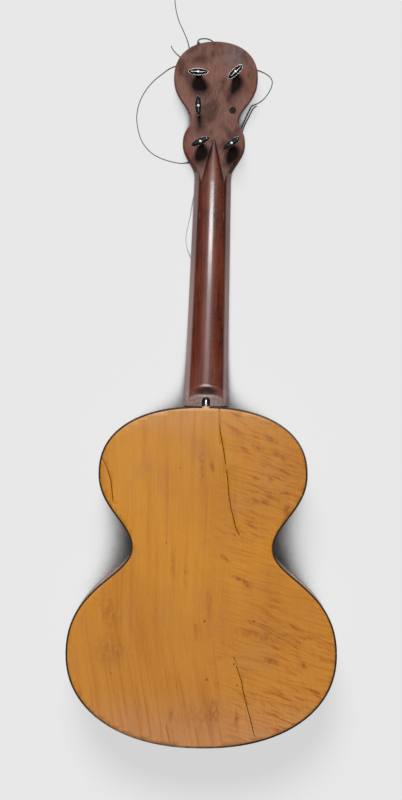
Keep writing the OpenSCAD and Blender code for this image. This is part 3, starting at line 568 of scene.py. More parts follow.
def maple_back():
    """Plain maple on the left, figured maple on the right, worn oil varnish."""
    f = Finish("maple_back")
    across = f.part(f.at(), "X")
    down = f.part(f.at(), "Y")
    # broad warm and dull areas
    clouds = f.noise(f.at(unit=(120, 160, 50)), 3.0)
    f.ground(srgb(190, 122, 17), srgb(202, 134, 29), f.between(clouds, 0.35, 0.65))
    blotch = f.noise(f.at((7, 3, 0), unit=(42, 60, 50)), 3.0, 0.6)
    f.over(srgb(186, 122, 52), 0.5 * f.between(blotch, 0.5, 0.68))
    f.over(srgb(190, 126, 60), 0.4 * f.between(down, TAIL_Y + 260, TAIL_Y + 90))
    # a painted pale sheen at the top and a duller pinkish band at the foot
    painted_top_sheen = f.between(down, JOINT_Y - 46, JOINT_Y - 4)
    f.over(srgb(200, 142, 82), 0.6 * painted_top_sheen)
    foot_noise = f.noise(f.at(unit=(25, 25, 25)), 3.0)
    foot = f.between(down + 26 * foot_noise, TAIL_Y + 92, TAIL_Y + 22)
    f.over(srgb(192, 136, 92), 0.7 * foot)
    right_wash = f.between(across, 20, 110) * f.between(down, TAIL_Y + 250, TAIL_Y + 330)
    f.over(srgb(186, 120, 44), 0.45 * right_wash)
    # long straight grain, leaning a little in the lower half
    lean = f.between(down, TAIL_Y + 230, TAIL_Y + 60)
    grain_up = f.noise(f.at(turn=(0, 0, -0.6), unit=(1.5, 90, 20)), 3.0, 0.6)
    grain_low = f.noise(f.at(turn=(0, 0, 9), unit=(1.7, 80, 20)), 3.0, 0.6)
    grain = grain_up * (1 - lean) + grain_low * lean
    bands_up = f.noise(f.at((3, 0, 0), (0, 0, -0.6), (7, 170, 20)), 2.0)
    bands_low = f.noise(f.at((3, 0, 0), (0, 0, 10), (6, 110, 20)), 2.0)
    bands = bands_up * (1 - lean) + bands_low * lean
    figured = f.between(across + 60 * f.noise(f.at(unit=(46, 66, 40)), 2.0), 16, 94)
    straight = 1 - 0.65 * figured
    f.glaze(srgb(224, 196, 160), 0.34 * straight * f.between(grain, 0.44, 0.74))
    dark_bands = (0.34 + 0.3 * lean) * straight * f.between(bands, 0.45, 0.75)
    f.glaze(srgb(226, 202, 168), dark_bands)
    f.over(srgb(208, 144, 54), 0.2 * straight * f.between(bands, 0.48, 0.3))
    # flame: short dark dashes and fine lines that fall to the right
    dash_field = f.noise(f.at(unit=(62, 54, 40)), 2.0)
    dash = f.noise(f.at(turn=(0, 0, -26), unit=(23, 4, 20)), 1.5, 0.5, 0.5)
    flecks = f.between(dash, 0.5, 0.7) * f.between(dash_field, 0.42, 0.6) * figured
    f.glaze(srgb(214, 172, 112), 0.8 * flecks)
    line = f.noise(f.at(turn=(0, 0, -16), unit=(42, 2.6, 20)), 2.0, 0.5, 0.3)
    lines = f.between(line, 0.46, 0.66) * figured
    f.glaze(srgb(226, 196, 154), 0.45 * lines)
    curl = f.noise(f.at(turn=(0, 0, -24), unit=(26, 9, 20)), 2.0, 0.5, 0.6)
    f.over(srgb(206, 138, 48), 0.3 * figured * f.between(curl, 0.52, 0.68))
    # stains and knots of figure, each with its place, size, turn and weight
    stains = [((11, -93), (4, 16), 8, 0.7), ((82, -60), (16, 5), -30, 0.6),
              ((66, -71), (12, 4), -28, 0.5), ((94, -82), (13, 5), -35, 0.6),
              ((76, -136), (10, 6), -35, 0.6), ((104, -146), (9, 10), 20, 0.55),
              ((47, -232), (20, 4.5), -24, 0.75), ((28, -206), (12, 4), -40, 0.55),
              ((56, -240), (9, 4), -20, 0.5), ((104, -300), (14, 5), -14, 0.5),
              ((86, -331), (14, 6), -20, 0.55), ((126, -336), (10, 6), -30, 0.6),
              ((-7, -294), (4, 20), 6, 0.4), ((9, -263), (6, 26), 4, 0.4),
              ((17, -392), (8, 20), 6, 0.5), ((-36, -398), (6, 14), 8, 0.45),
              ((44, -404), (5, 18), 4, 0.55), ((-112, -272), (20, 34), 15, 0.35),
              ((-110, -320), (30, 30), 0, 0.3), ((-2, -90), (7, 40), 3, 0.3),
              ((70, -300), (46, 10), -14, 0.35), ((0, -400), (60, 30), 0, 0.25),
              ((-36, -215), (5, 30), 2, 0.3), ((-20, -228), (4, 22), 2, 0.35)]
    mottle = f.noise(f.at(unit=(5, 9, 9)), 3.0, 0.65)
    breakup = f.between(mottle, 0.3, 0.62)
    for centre, radii, turn, weight in stains:
        mark = f.spot(centre, radii, turn) * breakup
        f.glaze(srgb(160, 108, 66), weight * mark)
    # small dark specks
    for centre, r in [((3.5, -283), 2), ((64, -282), 1.7), ((7, -354), 2), ((40, -335), 1.6),
                      ((44, -361), 1.6), ((-44, -188), 1.4), ((-110, -348), 1.3),
                      ((-28, -96), 1.2), ((0, -106), 1.2)]:
        f.glaze(srgb(110, 70, 44), 0.85 * f.spot(centre, (r, r * 1.2)))
    # fine dirt in the pores and a few scuffs
    pores = f.noise(f.at(turn=(0, 0, 1), unit=(0.9, 7, 5)), 2.0, 0.7)
    f.glaze(srgb(220, 196, 168), 0.36 * f.between(pores, 0.5, 0.75))
    scuff = f.noise(f.at((5, 9, 0), (0, 0, 40), (1.1, 26, 20)), 2.0)
    scuffs = f.between(scuff, 0.69, 0.74)
    f.over(srgb(212, 154, 88), 0.35 * scuffs)
    cloudy = f.noise(f.at(unit=(30, 30, 30)), 3.0)
    return f.done(Roughness=0.42 + 0.18 * cloudy, Specular_IOR_Level=0.22,
                  Coat_Weight=0.12, Coat_Roughness=0.3,
                  Normal=f.bump(grain * 0.5 + pores * 0.4 + line * figured * 0.3, 0.05))


def dark_edge():
    """Black-brown binding, worn pale on its inner edge along the lower left."""
    f = Finish("dark_binding")
    across, down = f.part(f.at(), "X"), f.part(f.at(), "Y")
    wear = f.noise(f.at(unit=(9, 9, 9)), 3.0, 0.6)
    f.ground(srgb(34, 20, 13), srgb(66, 40, 26), f.between(wear, 0.4, 0.7))
    foot_left = f.between(across, 60, -10) * f.between(down, TAIL_Y + 60, TAIL_Y + 20)
    f.over(srgb(138, 98, 66), foot_left * (0.5 + 0.5 * f.between(wear, 0.4, 0.6)))
    right_rim = f.between(across, 30, 80) * f.between(down, JOINT_Y - 90, JOINT_Y - 30)
    f.over(srgb(112, 98, 80), 0.55 * right_rim)
    chips = f.between(f.noise(f.at((4, 2, 0), unit=(3, 3, 3)), 2.0), 0.66, 0.72)
    f.over(srgb(150, 110, 72), 0.7 * chips)
    return f.done(Roughness=0.5 + 0.25 * wear, Specular_IOR_Level=0.25,
                  Normal=f.bump(wear, 0.08))


def maple_rib():
    """Figured maple sides: narrow bars of flame across the grain, under brown varnish."""
    f = Finish("maple_rib")
    up = f.part(f.at(), "Z")
    flame = f.noise(f.at(unit=(7, 7, 60)), 3.0, 0.5, 0.5)
    f.ground(srgb(96, 52, 22), srgb(146, 88, 38), f.between(flame, 0.36, 0.64))
    grain = f.noise(f.at(unit=(60, 60, 1.2)), 3.0, 0.6)
    f.glaze(srgb(190, 150, 110), 0.8 * f.between(grain, 0.5, 0.68))
    grime = f.noise(f.at(unit=(30, 30, 20)), 3.0)
    f.glaze(srgb(120, 90, 70), 0.7 * f.between(grime, 0.5, 0.72))
    # bare torn fibres where the binding is missing at the screw
    torn = f.spot((NECK_SHIFT, JOINT_Y), (7, 6)) * f.between(up, CROWN_Z - 6, CROWN_Z - 3)
    f.over(srgb(214, 178, 134), 0.85 * torn)
    return f.done(Roughness=0.3 + 0.2 * grime,
                  Coat_Weight=0.2, Coat_Roughness=0.3, Normal=f.bump(grain, 0.03))


def spruce(name, tint, pale, gloss):
    """Straight close grain along the body."""
    f = Finish(name)
    rings = f.noise(f.at(unit=(1.1, 220, 30)), 2.0, 0.6)
    wide = f.noise(f.at((4, 0, 0), unit=(9, 200, 30)), 2.0)
    f.ground(tint, pale, f.between(wide, 0.3, 0.7))
    f.glaze(srgb(196, 158, 118), 0.85 * f.between(rings, 0.48, 0.64))
    dirt = f.noise(f.at(unit=(38, 50, 30)), 4.0, 0.6)
    f.glaze(srgb(176, 146, 116), 0.7 * f.between(dirt, 0.5, 0.75))
    return f.done(Roughness=gloss + 0.15 * dirt, Normal=f.bump(rings, 0.05))


def rosette_inlay():
    """Rings of light and dark wood with a band of small chequers."""
    f = Finish("rosette_inlay")
    where = f.at((0, SOUNDHOLE_Y, 0))
    radius = f.length(f.node("ShaderNodeVectorMath", {"operation": "MULTIPLY"},
                             [where, (1, 1, 0)]))
    across, along_it = f.part(where, "X"), f.part(where, "Y")
    chequers = across.math("ARCTAN2", across, along_it) * CHEQUER_COUNT
    off_middle = abs(radius - (ROSETTE_R + ROSETTE_W / 2))
    band = f.between(off_middle, 1.3, 1.2)
    squares = f.between(chequers.math("SINE", chequers), -0.15, 0.15)
    f.ground(srgb(38, 26, 20), srgb(188, 152, 98), band * squares)
    pale_rims = f.between(off_middle, 1.75, 1.85) * f.between(off_middle, 2.2, 2.1)
    f.over(srgb(186, 150, 96), pale_rims)
    wear = f.noise(f.at(unit=(6, 6, 6)), 3.0)
    f.glaze(srgb(170, 140, 110), 0.6 * f.between(wear, 0.45, 0.7))
    return f.done(Roughness=0.45 + 0.2 * wear)


def neck_varnish():
    """Red-brown varnish over a close grain, rubbed dull at the sides and the heel, with a painted
    grey reflection on the sides and painted shade in the heel's hollow.
    """
    f = Finish("neck_wood")
    turn = (0, 0, -math.degrees(NECK_SKEW))
    centre = (NECK_SHIFT, JOINT_Y, 0)
    where = f.at(centre, turn)
    across, way, up = f.part(where, "X"), f.part(where, "Y"), f.part(where, "Z")
    streak = f.noise(f.at(centre, turn, (2.6, 70, 9)), 4.0, 0.6)
    fine = f.noise(f.at(centre, turn, (0.9, 26, 6)), 3.0, 0.65)
    patch = f.noise(f.at(centre, turn, (13, 44, 20)), 3.0, 0.6)
    f.ground(srgb(76, 22, 4), srgb(114, 44, 14), f.between(streak, 0.3, 0.7))
    f.over(srgb(108, 56, 38), 0.3 * f.between(patch, 0.5, 0.7))
    f.glaze(srgb(150, 104, 84), 0.7 * f.between(patch, 0.46, 0.3))
    f.glaze(srgb(160, 110, 90), 0.8 * f.between(fine, 0.54, 0.7))
    # flecks across the grain, darkest on the right of the middle
    fleck = f.noise(f.at(centre, turn, (5, 3.2, 6)), 3.0, 0.7)
    right = f.between(across, -4, 6)
    f.glaze(srgb(120, 80, 60), (0.35 + 0.5 * right) * f.between(fleck, 0.56, 0.7))
    f.over(srgb(138, 66, 24), 0.4 * right * f.between(fleck, 0.44, 0.34))
    # the sides carry a painted grey reflection of the pale floor, lighter towards the heel
    half_w = 0.5 * JOINT_W - 0.5 * (JOINT_W - NUT_W) / NECK_LEN * way
    inward = half_w - abs(across)
    side = f.between(inward, 7.6, 4.4)
    grey = f.mix(srgb(132, 110, 104), srgb(164, 138, 132), f.between(way, 220, 130))
    f.over(grey, 0.78 * side)
    # painted shade along the edge where the side turns in towards the crest
    upper = f.between(way, 160, 240)
    rim = f.between(abs(inward - 7.4), 2.4, 0.4) * (0.35 + 0.65 * upper)
    f.glaze(srgb(130, 90, 76), 0.8 * rim)
    # the spear's two edges are dark: a glue seam with painted shade beside the raised spear
    within = SPEAR_R / (SPEAR_LEN - PRONG_AT) * (NECK_LEN + SPEAR_LEN - way) - abs(across)
    seam_and_shade = f.between(within, 4, 0.5) * f.between(within, -1.6, -0.6)
    seam_and_shade = seam_and_shade * f.between(way, NECK_LEN - 20, NECK_LEN - 6)
    f.glaze(srgb(118, 76, 62), 0.85 * seam_and_shade)
    # the heel's sweep has painted shade in its hollow, and its foot is grey with wear and a painted
    # pale reflection
    hollow_at = NECK @ Vector((0, 18.5 - NECK_LEN, 0))
    painted_hollow_shade = f.spot(hollow_at.xy, (19, 8.5), soft=0.6)
    f.glaze(srgb(104, 80, 68), painted_hollow_shade)
    # the heel's foot: grey wear together with a painted pale reflection
    foot = f.between(up, HEEL_Z - 26, HEEL_Z - 3)
    wear = f.noise(f.at(unit=(4, 4, 4)), 3.0, 0.65)
    f.over(srgb(142, 122, 117), foot * (0.5 + 0.45 * f.between(wear, 0.35, 0.6)))
    scar = f.noise(f.at(centre, (0, 0, 30), (1.3, 9, 9)), 2.0)
    scars = f.between(scar, 0.66, 0.72) * f.between(way, 4, 90)
    f.glaze(srgb(84, 50, 40), 0.5 * scars)
    dull = f.between(abs(across), 3, 11) * f.between(way, 60, 30)
    polish = (f.between(way, 130, 262) * 0.76 + 0.14) * f.between(way, 318, 290)
    return f.done(Roughness=0.36 + 0.14 * patch + 0.2 * foot + 0.3 * dull,
                  Coat_Weight=polish * f.between(inward, 7, 9.6) * (1 - dull),
                  Coat_Roughness=0.18, Specular_IOR_Level=0.42,
                  Normal=f.bump(streak * 0.6 + fine * 0.4 + foot * wear, 0.045))


def head_stain():
    """Dull black-brown stain rubbed through to red, with a greyer upper right."""
    f = Finish("head_wood")
    turn = (0, 0, -math.degrees(NECK_SKEW))
    centre = (*(NECK @ Vector((0, 0, 0))).xy, 0)
    where = f.at(centre, turn)
    across, way = f.part(where, "X"), f.part(where, "Y")
    cloud = f.noise(f.at((centre[0] + 46, centre[1] + 20, 0), turn, (26, 40, 30)), 4.0, 0.6)
    f.ground(srgb(118, 84, 75), srgb(141, 101, 90), f.between(cloud, 0.34, 0.66))
    streak = f.noise(f.at(centre, turn, (3, 34, 12)), 4.0, 0.65)
    f.glaze(srgb(206, 190, 184), 0.36 * f.between(streak, 0.46, 0.72))
    grain = f.noise(f.at(centre, turn, (0.9, 12, 6)), 3.0, 0.7)
    f.glaze(srgb(170, 146, 136), 0.7 * f.between(grain, 0.52, 0.7))
    rub = f.noise(f.at((3, 8, 0), turn, (14, 22, 20)), 3.0, 0.6)
    red = f.between(across, 30, 48) * f.between(way, 66, 92) * f.between(way, 132, 112)
    low_red = f.between(abs(across), 20, 34) * f.between(way, 44, 16)
    f.over(srgb(128, 80, 62), 0.5 * red)
    f.over(srgb(112, 48, 34), 0.7 * low_red)
    f.over(srgb(128, 74, 62), 0.5 * f.between(rub, 0.55, 0.7))
    grey = f.spot((centre[0] + 27, centre[1] + 145), (26, 22), 20)
    f.over(srgb(126, 108, 106), 0.75 * grey)
    smudge = f.spot((centre[0] - 17, centre[1] + 140), (17, 11))
    f.glaze(srgb(150, 128, 120), 0.8 * smudge)
    # rubbed grey beside the spear and at the shoulders
    beside = f.between(way, 34, 6) * f.between(abs(across), 12, 16) * f.between(abs(across), 24, 18)
    f.over(srgb(124, 104, 92), 0.6 * beside)
    f.glaze(srgb(120, 96, 88), 0.5 * f.between(cloud, 0.5, 0.36))
    speck = f.between(f.cells(f.at(unit=(7, 7, 7))), 0.1, 0.05)
    f.glaze(srgb(90, 66, 58), 0.6 * speck)
    return f.done(Roughness=0.52 + 0.18 * rub, Specular_IOR_Level=0.07,
                  Normal=f.bump(grain * 0.6 + streak * 0.5, 0.07))


def dense_wood(name, dark, pale, rough):
    """Close dark wood with short pores: fingerboard, bridge and pins."""
    f = Finish(name)
    pores = f.noise(f.at(unit=(0.8, 12, 4)), 3.0, 0.7)
    wear = f.noise(f.at(unit=(16, 40, 20)), 3.0)
    f.ground(dark, pale, f.between(wear, 0.42, 0.75))
    f.glaze(srgb(110, 90, 80), 0.8 * f.between(pores, 0.54, 0.68))
    return f.done(Roughness=rough + 0.2 * wear, Normal=f.bump(pores, 0.04))


def black_lacquer():
    """Polished ebony pegs."""
    f = Finish("black_peg")
    grain = f.noise(f.at(unit=(1, 1, 9)), 3.0, 0.6)
    smear = f.noise(f.at(unit=(5, 5, 8)), 3.0)
    f.ground(srgb(14, 12, 12), srgb(34, 27, 24), f.between(grain, 0.45, 0.75))
    return f.done(Roughness=0.2 + 0.18 * smear, Specular_IOR_Level=0.08,
                  Coat_Weight=1.0, Coat_Roughness=0.05, Normal=f.bump(grain, 0.01))


def pale_inlay(name, low, high, rough):
    """Bone and mother of pearl: cloudy, polished."""
    f = Finish(name)
    cloud = f.noise(f.at(unit=(1.6, 2.4, 1.6)), 3.0, 0.6)
    f.ground(low, high, f.between(cloud, 0.3, 0.7))
    return f.done(Roughness=rough + 0.15 * cloud, Coat_Weight=0.6,
                  Coat_Roughness=0.08)


def metal(name, bright, dull, rough, unit=3):
    """Old metal, cloudy with tarnish and scratched fine."""
    f = Finish(name)
    tarnish = f.noise(f.at(unit=(unit, unit, unit)), 4.0, 0.65)
    scratch = f.noise(f.at(turn=(20, 35, 15), unit=(0.25, 5, 5)), 2.0)
    mask = f.between(tarnish, 0.42, 0.66)
    f.ground(bright, dull, mask)
    return f.done(Metallic=1 - 0.55 * mask, Roughness=rough + 0.3 * mask,
                  Normal=f.bump(scratch + tarnish, 0.02))


def gut(name, low, high):
    """Old gut string: a tight twist, cloudy with dirt."""
    f = Finish(name)
    dirt = f.noise(f.at(unit=(7, 7, 7)), 3.0, 0.6)
    twist = f.noise(f.at(turn=(0, 0, 35), unit=(0.3, 1.1, 1)), 2.0)
    f.ground(low, high, f.between(dirt, 0.35, 0.65))
    return f.done(Roughness=0.45 + 0.15 * dirt, Normal=f.bump(twist, 0.05))


BACK = maple_back()
BINDING = dark_edge()
RIB = maple_rib()
TOP = spruce("spruce_top", srgb(188, 138, 78), srgb(208, 160, 98), 0.4)
BARE = spruce("bare_spruce", srgb(186, 148, 100), srgb(204, 168, 120), 0.65)
INLAY = rosette_inlay()
VARNISH = neck_varnish()
STAIN = head_stain()
EBONY = dense_wood("ebony", srgb(30, 24, 22), srgb(66, 52, 44), 0.35)
PIN = dense_wood("black_pin", srgb(22, 18, 17), srgb(46, 38, 34), 0.28)
LACQUER = black_lacquer()
PEARL = pale_inlay("pearl_dot", srgb(226, 226, 220), srgb(250, 248, 240), 0.12)
BONE = pale_inlay("bone", srgb(198, 182, 148), srgb(224, 212, 184), 0.3)
IRON = metal("iron_socket", srgb(96, 90, 86), srgb(70, 48, 36), 0.45)
STEEL = metal("screw_steel", srgb(188, 192, 196), srgb(104, 106, 106), 0.22, 1.6)
BRASS = metal("fret_brass", srgb(190, 160, 96), srgb(112, 92, 56), 0.3)
GUT = gut("string_gut", srgb(38, 32, 28), srgb(70, 61, 54))
THREAD = gut("pale_thread", srgb(176, 172, 166), srgb(204, 200, 194))

for node, strand in strands.items():
    strand.data.materials.append(THREAD if node == PALE_ONE else GUT)

# ---------- back plate ----------

CRACK_W = 0.8
# Cracks: points along each, and its width
CRACKS = [
    ([(18, -14), (18.6, -22.5), (20, -49), (25.3, -77.5), (29.8, -106.5), (32, -131),
      (35, -147), (41, -170), (45, -178)], CRACK_W),
    ([(40.5, -327), (43, -337), (49.5, -356.5), (52.7, -372.5), (56.5, -387),
      (61.6, -405), (68, -431), (70, -440)], CRACK_W),
    ([(-131, -75), (-123.5, -86), (-116.8, -98.5), (-112.5, -113), (-110.2, -132.5),
      (-109, -142)], CRACK_W),
    ([(-42.8, -409), (-40, -420), (-36.3, -432.5), (-34, -442)], CRACK_W / 2),
]
LIP_RISE, LIP_REACH = 0.28, 9
GRID_STEP = 6


def crack_outline(line, width):
    """Both edges of a crack, each half its width from its line."""
    sides = [[], []]
    for i, (x, y) in enumerate(line):
        ahead, behind = line[min(i + 1, len(line) - 1)], line[max(i - 1, 0)]
        run = Vector((ahead[0] - behind[0], ahead[1] - behind[1])).normalized()
        for side, sign in zip(sides, (1, -1)):
            side.append((x - sign * width / 2 * run.y, y + sign * width / 2 * run.x))
    return sides[0] + sides[1][::-1]


def arch_z(x, sunk=0):
    """Height of the back's vault, or of a surface that lies a distance under it."""
    return VAULT_Z + math.sqrt((VAULT_R - sunk) ** 2 - x * x)


def beside_crack(x, y):
    """How near a point is to a crack, signed by its side: 1 at the edge, 0 far away."""
    nearest = 0
    for line, width in CRACKS:
        for (ax, ay), (bx, by) in zip(line, line[1:]):
            span = Vector((bx - ax, by - ay))
            t = min(max(((x - ax) * span.x + (y - ay) * span.y) / span.length_squared, 0), 1)
            gap = math.hypot(x - ax - t * span.x, y - ay - t * span.y)
            near = math.exp(-gap / LIP_REACH) * width / CRACK_W
            if near > abs(nearest):
                side = span.x * (y - ay) - span.y * (x - ax)
                nearest = math.copysign(near, side)
    return nearest


def make_back():
    piece = plate("back_maple", PLATE_LINE, 0, BACK_T)

    def strips(low, high, normal):
        for at in range(int(low), int(high), GRID_STEP):
            bpy.ops.mesh.select_all(action="SELECT")
            centre = [at * MM * n for n in normal]
            bpy.ops.mesh.bisect(plane_co=centre, plane_no=normal)

    edit(piece, lambda: strips(-LOWER_W / 2 + 3, LOWER_W / 2, (1, 0, 0)),
         lambda: strips(TAIL_Y + 3, JOINT_Y, (0, 1, 0)))
    for line, width in CRACKS:
        cut(piece, plate("cutter", crack_outline(line, width), -5, 2 * BACK_T))
    for corner in piece.data.vertices:
        x, y, z = corner.co / MM
        lip = beside_crack(x, y)
        rise = (LIP_RISE if lip > 0 else LIP_RISE / 3) * lip - LIP_RISE / 2
        corner.co.z = (arch_z(x, BACK_T - z) + rise) * MM
    eased(piece, 0.22, 1, 50)
    settle(piece, "body", "back_plate", BACK)


make_back()

# ---------- bindings, ribs and soundboard ----------

BACK_BINDING = [(0, -BACK_T), (0, -0.7), (0.25, -0.25), (0.8, 0), (BINDING_W - 0.2, 0),
                (BINDING_W, -0.2), (BINDING_W, -BACK_T)]
CHIP_HALF = 4.9


def ring_of(name, section, lift):
    """A strip laid round the outline: section gives (distance in, height) of its corners."""
    loops = [inset(BODY_LINE, by) for by, _ in section]
    count = len(loops[0])

    def corner(i, j):
        x, y = loops[j % len(section)][i % count]
        return x, y, lift(x) + section[j % len(section)][1]
    piece = formed(name, count + 1, len(section) + 1, corner)
    return smooth_shaded(piece, 40)


def make_back_binding():
    piece = ring_of("back_binding_strip", BACK_BINDING, arch_z)
    ragged = [(-CHIP_HALF, -2 * SLOT_W), (CHIP_HALF - 0.6, -2 * SLOT_W), (CHIP_HALF, -1.9),
              (CHIP_HALF - 0.9, -1.2), (CHIP_HALF + 0.7, -0.5), (CHIP_HALF - 0.2, SLOT_W),
              (-CHIP_HALF + 0.3, SLOT_W), (-CHIP_HALF - 0.8, -0.3), (-CHIP_HALF + 0.6, -1.3)]
    at_joint = NECK @ Matrix.Translation((0, -NECK_LEN, 0))
    cut(piece, plate("cutter", ragged, CROWN_Z - 12, CROWN_Z + 5, at_joint))
    settle(smooth_shaded(piece, 40), "body", "back_binding", BINDING)


def make_top_binding():
    height = TOP_INNER_Z - BOARD_Z
    section = [(0, height), (0, 0.6), (0.25, 0.2), (0.7, 0), (BINDING_W, 0), (BINDING_W, height)]
    piece = ring_of("top_binding_strip", section, lambda x: BOARD_Z)
    settle(piece, "body", "top_binding", BINDING)


def make_ribs():
    for side, sign in (("right", 1), ("left", -1)):
        outer = BODY_HALF
        inner = inset(BODY_LINE, RIB_T)[:len(outer)]
        inner[0], inner[-1] = (0, inner[0][1]), (0, inner[-1][1])
        rows = [(outer, 0), (outer, 0.33), (outer, 0.66), (outer, 1), (inner, 1), (inner, 0)]

        def corner(i, j):
            line, share = rows[j % len(rows)]
            x, y = line[i]
            return sign * x, y, lerp(TOP_INNER_Z, arch_z(x, BACK_T), share)
        piece = formed(f"rib_{side}_maple", len(outer), len(rows) + 1, corner, closed=True)
        cut(piece, rod(SCREW_HOLE_R + 0.15, -3 * RIB_T, 3 * RIB_T, SCREW_AXIS))
        settle(smooth_shaded(piece, 40), "body", f"rib_{side}", RIB)


def rosette_ring(name, face):
    """A flat ring round the soundhole, from a height at the board's face to its groove's bed."""
    inner, outer = ROSETTE_R, ROSETTE_R + ROSETTE_W
    profile = [(inner, face), (outer, face), (outer, ROSETTE_T), (inner, ROSETTE_T), (inner, face)]
    return turned(name, profile, Matrix.Translation((0, SOUNDHOLE_Y, BOARD_Z)), 96)


def make_top():
    piece = plate("soundboard_spruce", PLATE_LINE, BOARD_Z, TOP_INNER_Z)
    cut(piece, rod(SOUNDHOLE_R, -5, 40, Matrix.Translation((0, SOUNDHOLE_Y, 0)), 96))
    cut(piece, rosette_ring("cutter", -9))
    settle(eased(piece, 0.2, 1, 60), "body", "soundboard", TOP)
    ring = rosette_ring("rosette_ring", 0.05)
    settle(ring, "body", "rosette", INLAY)


make_back_binding()
make_top_binding()
make_ribs()
make_top()

# ---------- bridge ----------

def make_bridge():
    settle(eased(copied("bridge", "bridge_ebony"), 0.8, 3, 30), "body", "bridge", EBONY)
    settle(eased(copied("saddle", "saddle_bone"), 0.4, 2), "body", "saddle", BONE)
    low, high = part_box("bridge_pins")
    pitch, count = 11, 6
    shank, head, head_h = 2.4, 3.4, 2.2
    y = (low.y + high.y) / 2 / MM
    tip = high.z / MM - low.z / MM - head_h
    profile = [(0, -head_h), (head - 1.4, -head_h), (head - 0.4, -head_h + 0.7),
               (head, -head_h + 1.3), (head, -0.2), (shank, 0), (shank - 0.3, tip - 1), (0, tip)]
    pins = []
    for i in range(count):
        x = (i - (count - 1) / 2) * pitch
        place = Matrix.Translation((x, y, low.z / MM + head_h))
        pins.append(turned("pin", profile, place, 24))
    settle(joined("bridge_pin_set", pins), "body", "bridge_pins", PIN)


make_bridge()

# ---------- neck, heel and spear ----------

CREASE_FROM = -60
PRONG_W_NUT = 17.6
PRONG_T = 1.6
FLARE, FLARE_REACH = 1.05, 3.6
BAND_BEND = 0.75
NECK_BACK_Z = FACE_Z + NECK_LEN * math.tan(SLOPE) + NECK_T_HEEL
# Heel: distance from the joint, height
HEEL_SWEEP = [(27.3, NECK_BACK_Z - 0.6), (24.6, NECK_BACK_Z + 0.5), (21.8, NECK_BACK_Z + 3),
              (19.4, NECK_BACK_Z + 8), (17.6, NECK_BACK_Z + 16), (16.4, NECK_BACK_Z + 28),
              (15.4, NECK_BACK_Z + 42), (14.6, NECK_BACK_Z + 54), (14, HEEL_Z - 1.5),
              (13.3, HEEL_Z - 0.4), (12.1, HEEL_Z)]
HEEL_HALF_CAP, HEEL_HALF_FOOT, HEEL_PLAN, HEEL_BLEND = 22.6, 25.4, 2.6, 16
CAP_EDGE_H, CAP_EDGE_W = 1.6, 1.4
SPEAR_BOW, CREASE_SPREAD, RIDGE_FALL = 0.86, 0.012, 0.8
BAND_POINTS, WALL_POINTS, CREST_POINTS, SIDE_STEPS = 12, 4, 48, 200


def to_tip(y):
    """Share of the spear that is left at a distance from the nut: 1 at its root, 0 at its tip."""
    return min(max((SPEAR_LEN - y) / (SPEAR_LEN - PRONG_AT), 0), 1)


def spear_half(y):
    """Half width of the spear at a distance from the nut: a V with slightly bowed sides."""
    return SPEAR_R * to_tip(y) ** SPEAR_BOW


def crease_half(y):
    """Half width of the neck's raised middle: the spear's, and wider towards the heel."""
    return spear_half(y) if y > PRONG_AT else SPEAR_R - CREASE_SPREAD * (y - PRONG_AT)


def prong_half(y):
    """Outer edge of the head's prongs beside the spear."""
    return lerp(SPEAR_R + 0.05, PRONG_W_NUT, 1 - y / PRONG_AT)


def head_back(y):
    """Height of the head's back at a distance from the nut, in the neck's frame."""
    return FACE_Z + HEAD_T / math.cos(HEAD_ANGLE) + y * math.tan(HEAD_ANGLE)


def neck_half(y):
    return (NUT_W + (JOINT_W - NUT_W) * -y / NECK_LEN) / 2 + FLARE * math.exp(y / FLARE_REACH)


def neck_depth(y):
    return NECK_T_NUT + (NECK_T_HEEL - NECK_T_NUT) * -y / NECK_LEN


def wood_face(y):
    """Height of the neck's flat face, glued to the fingerboard."""
    return FACE_Z - y * math.tan(SLOPE)


def sweep_at(z):
    """How far the heel stands from the joint at a height, and its half width there."""
    low, high = HEEL_SWEEP[0], HEEL_SWEEP[-1]
    reach = low[0] if z <= low[1] else high[0]
    for (r0, z0), (r1, z1) in zip(HEEL_SWEEP, HEEL_SWEEP[1:]):
        if z0 < z <= z1:
            reach = lerp(r0, r1, (z - z0) / (z1 - z0))
    share = max(z - low[1], 0) / (HEEL_Z - low[1])
    edge = max(0, z - (HEEL_Z - CAP_EDGE_H)) / CAP_EDGE_H
    half = lerp(HEEL_HALF_FOOT, HEEL_HALF_CAP, share**0.8)
    return reach, half - CAP_EDGE_W * (1 - math.sqrt(max(0, 1 - edge**2)))


def heel_top(y):
    """Height of the heel's sweep on the neck's middle line."""
    reach = y + NECK_LEN
    for (r0, z0), (r1, z1) in zip(HEEL_SWEEP, HEEL_SWEEP[1:]):
        if reach >= r1:
            return lerp(z0, z1, (reach - r0) / (r1 - r0))
    return HEEL_Z


def heel_x(y, z):
    reach, half = sweep_at(z)
    share = max(y + NECK_LEN, 0) / reach
    return half * (1 - share**HEEL_PLAN) ** (1 / HEEL_PLAN) if share < 1 else 0


def band_share(v):
    """Rounding of the neck's side: 1 at the wood's face and 0 where the band ends."""
    low = math.sqrt(1 - BAND_BEND**2)
    return (math.sqrt(1 - (BAND_BEND * v) ** 2) - low) / (1 - low)


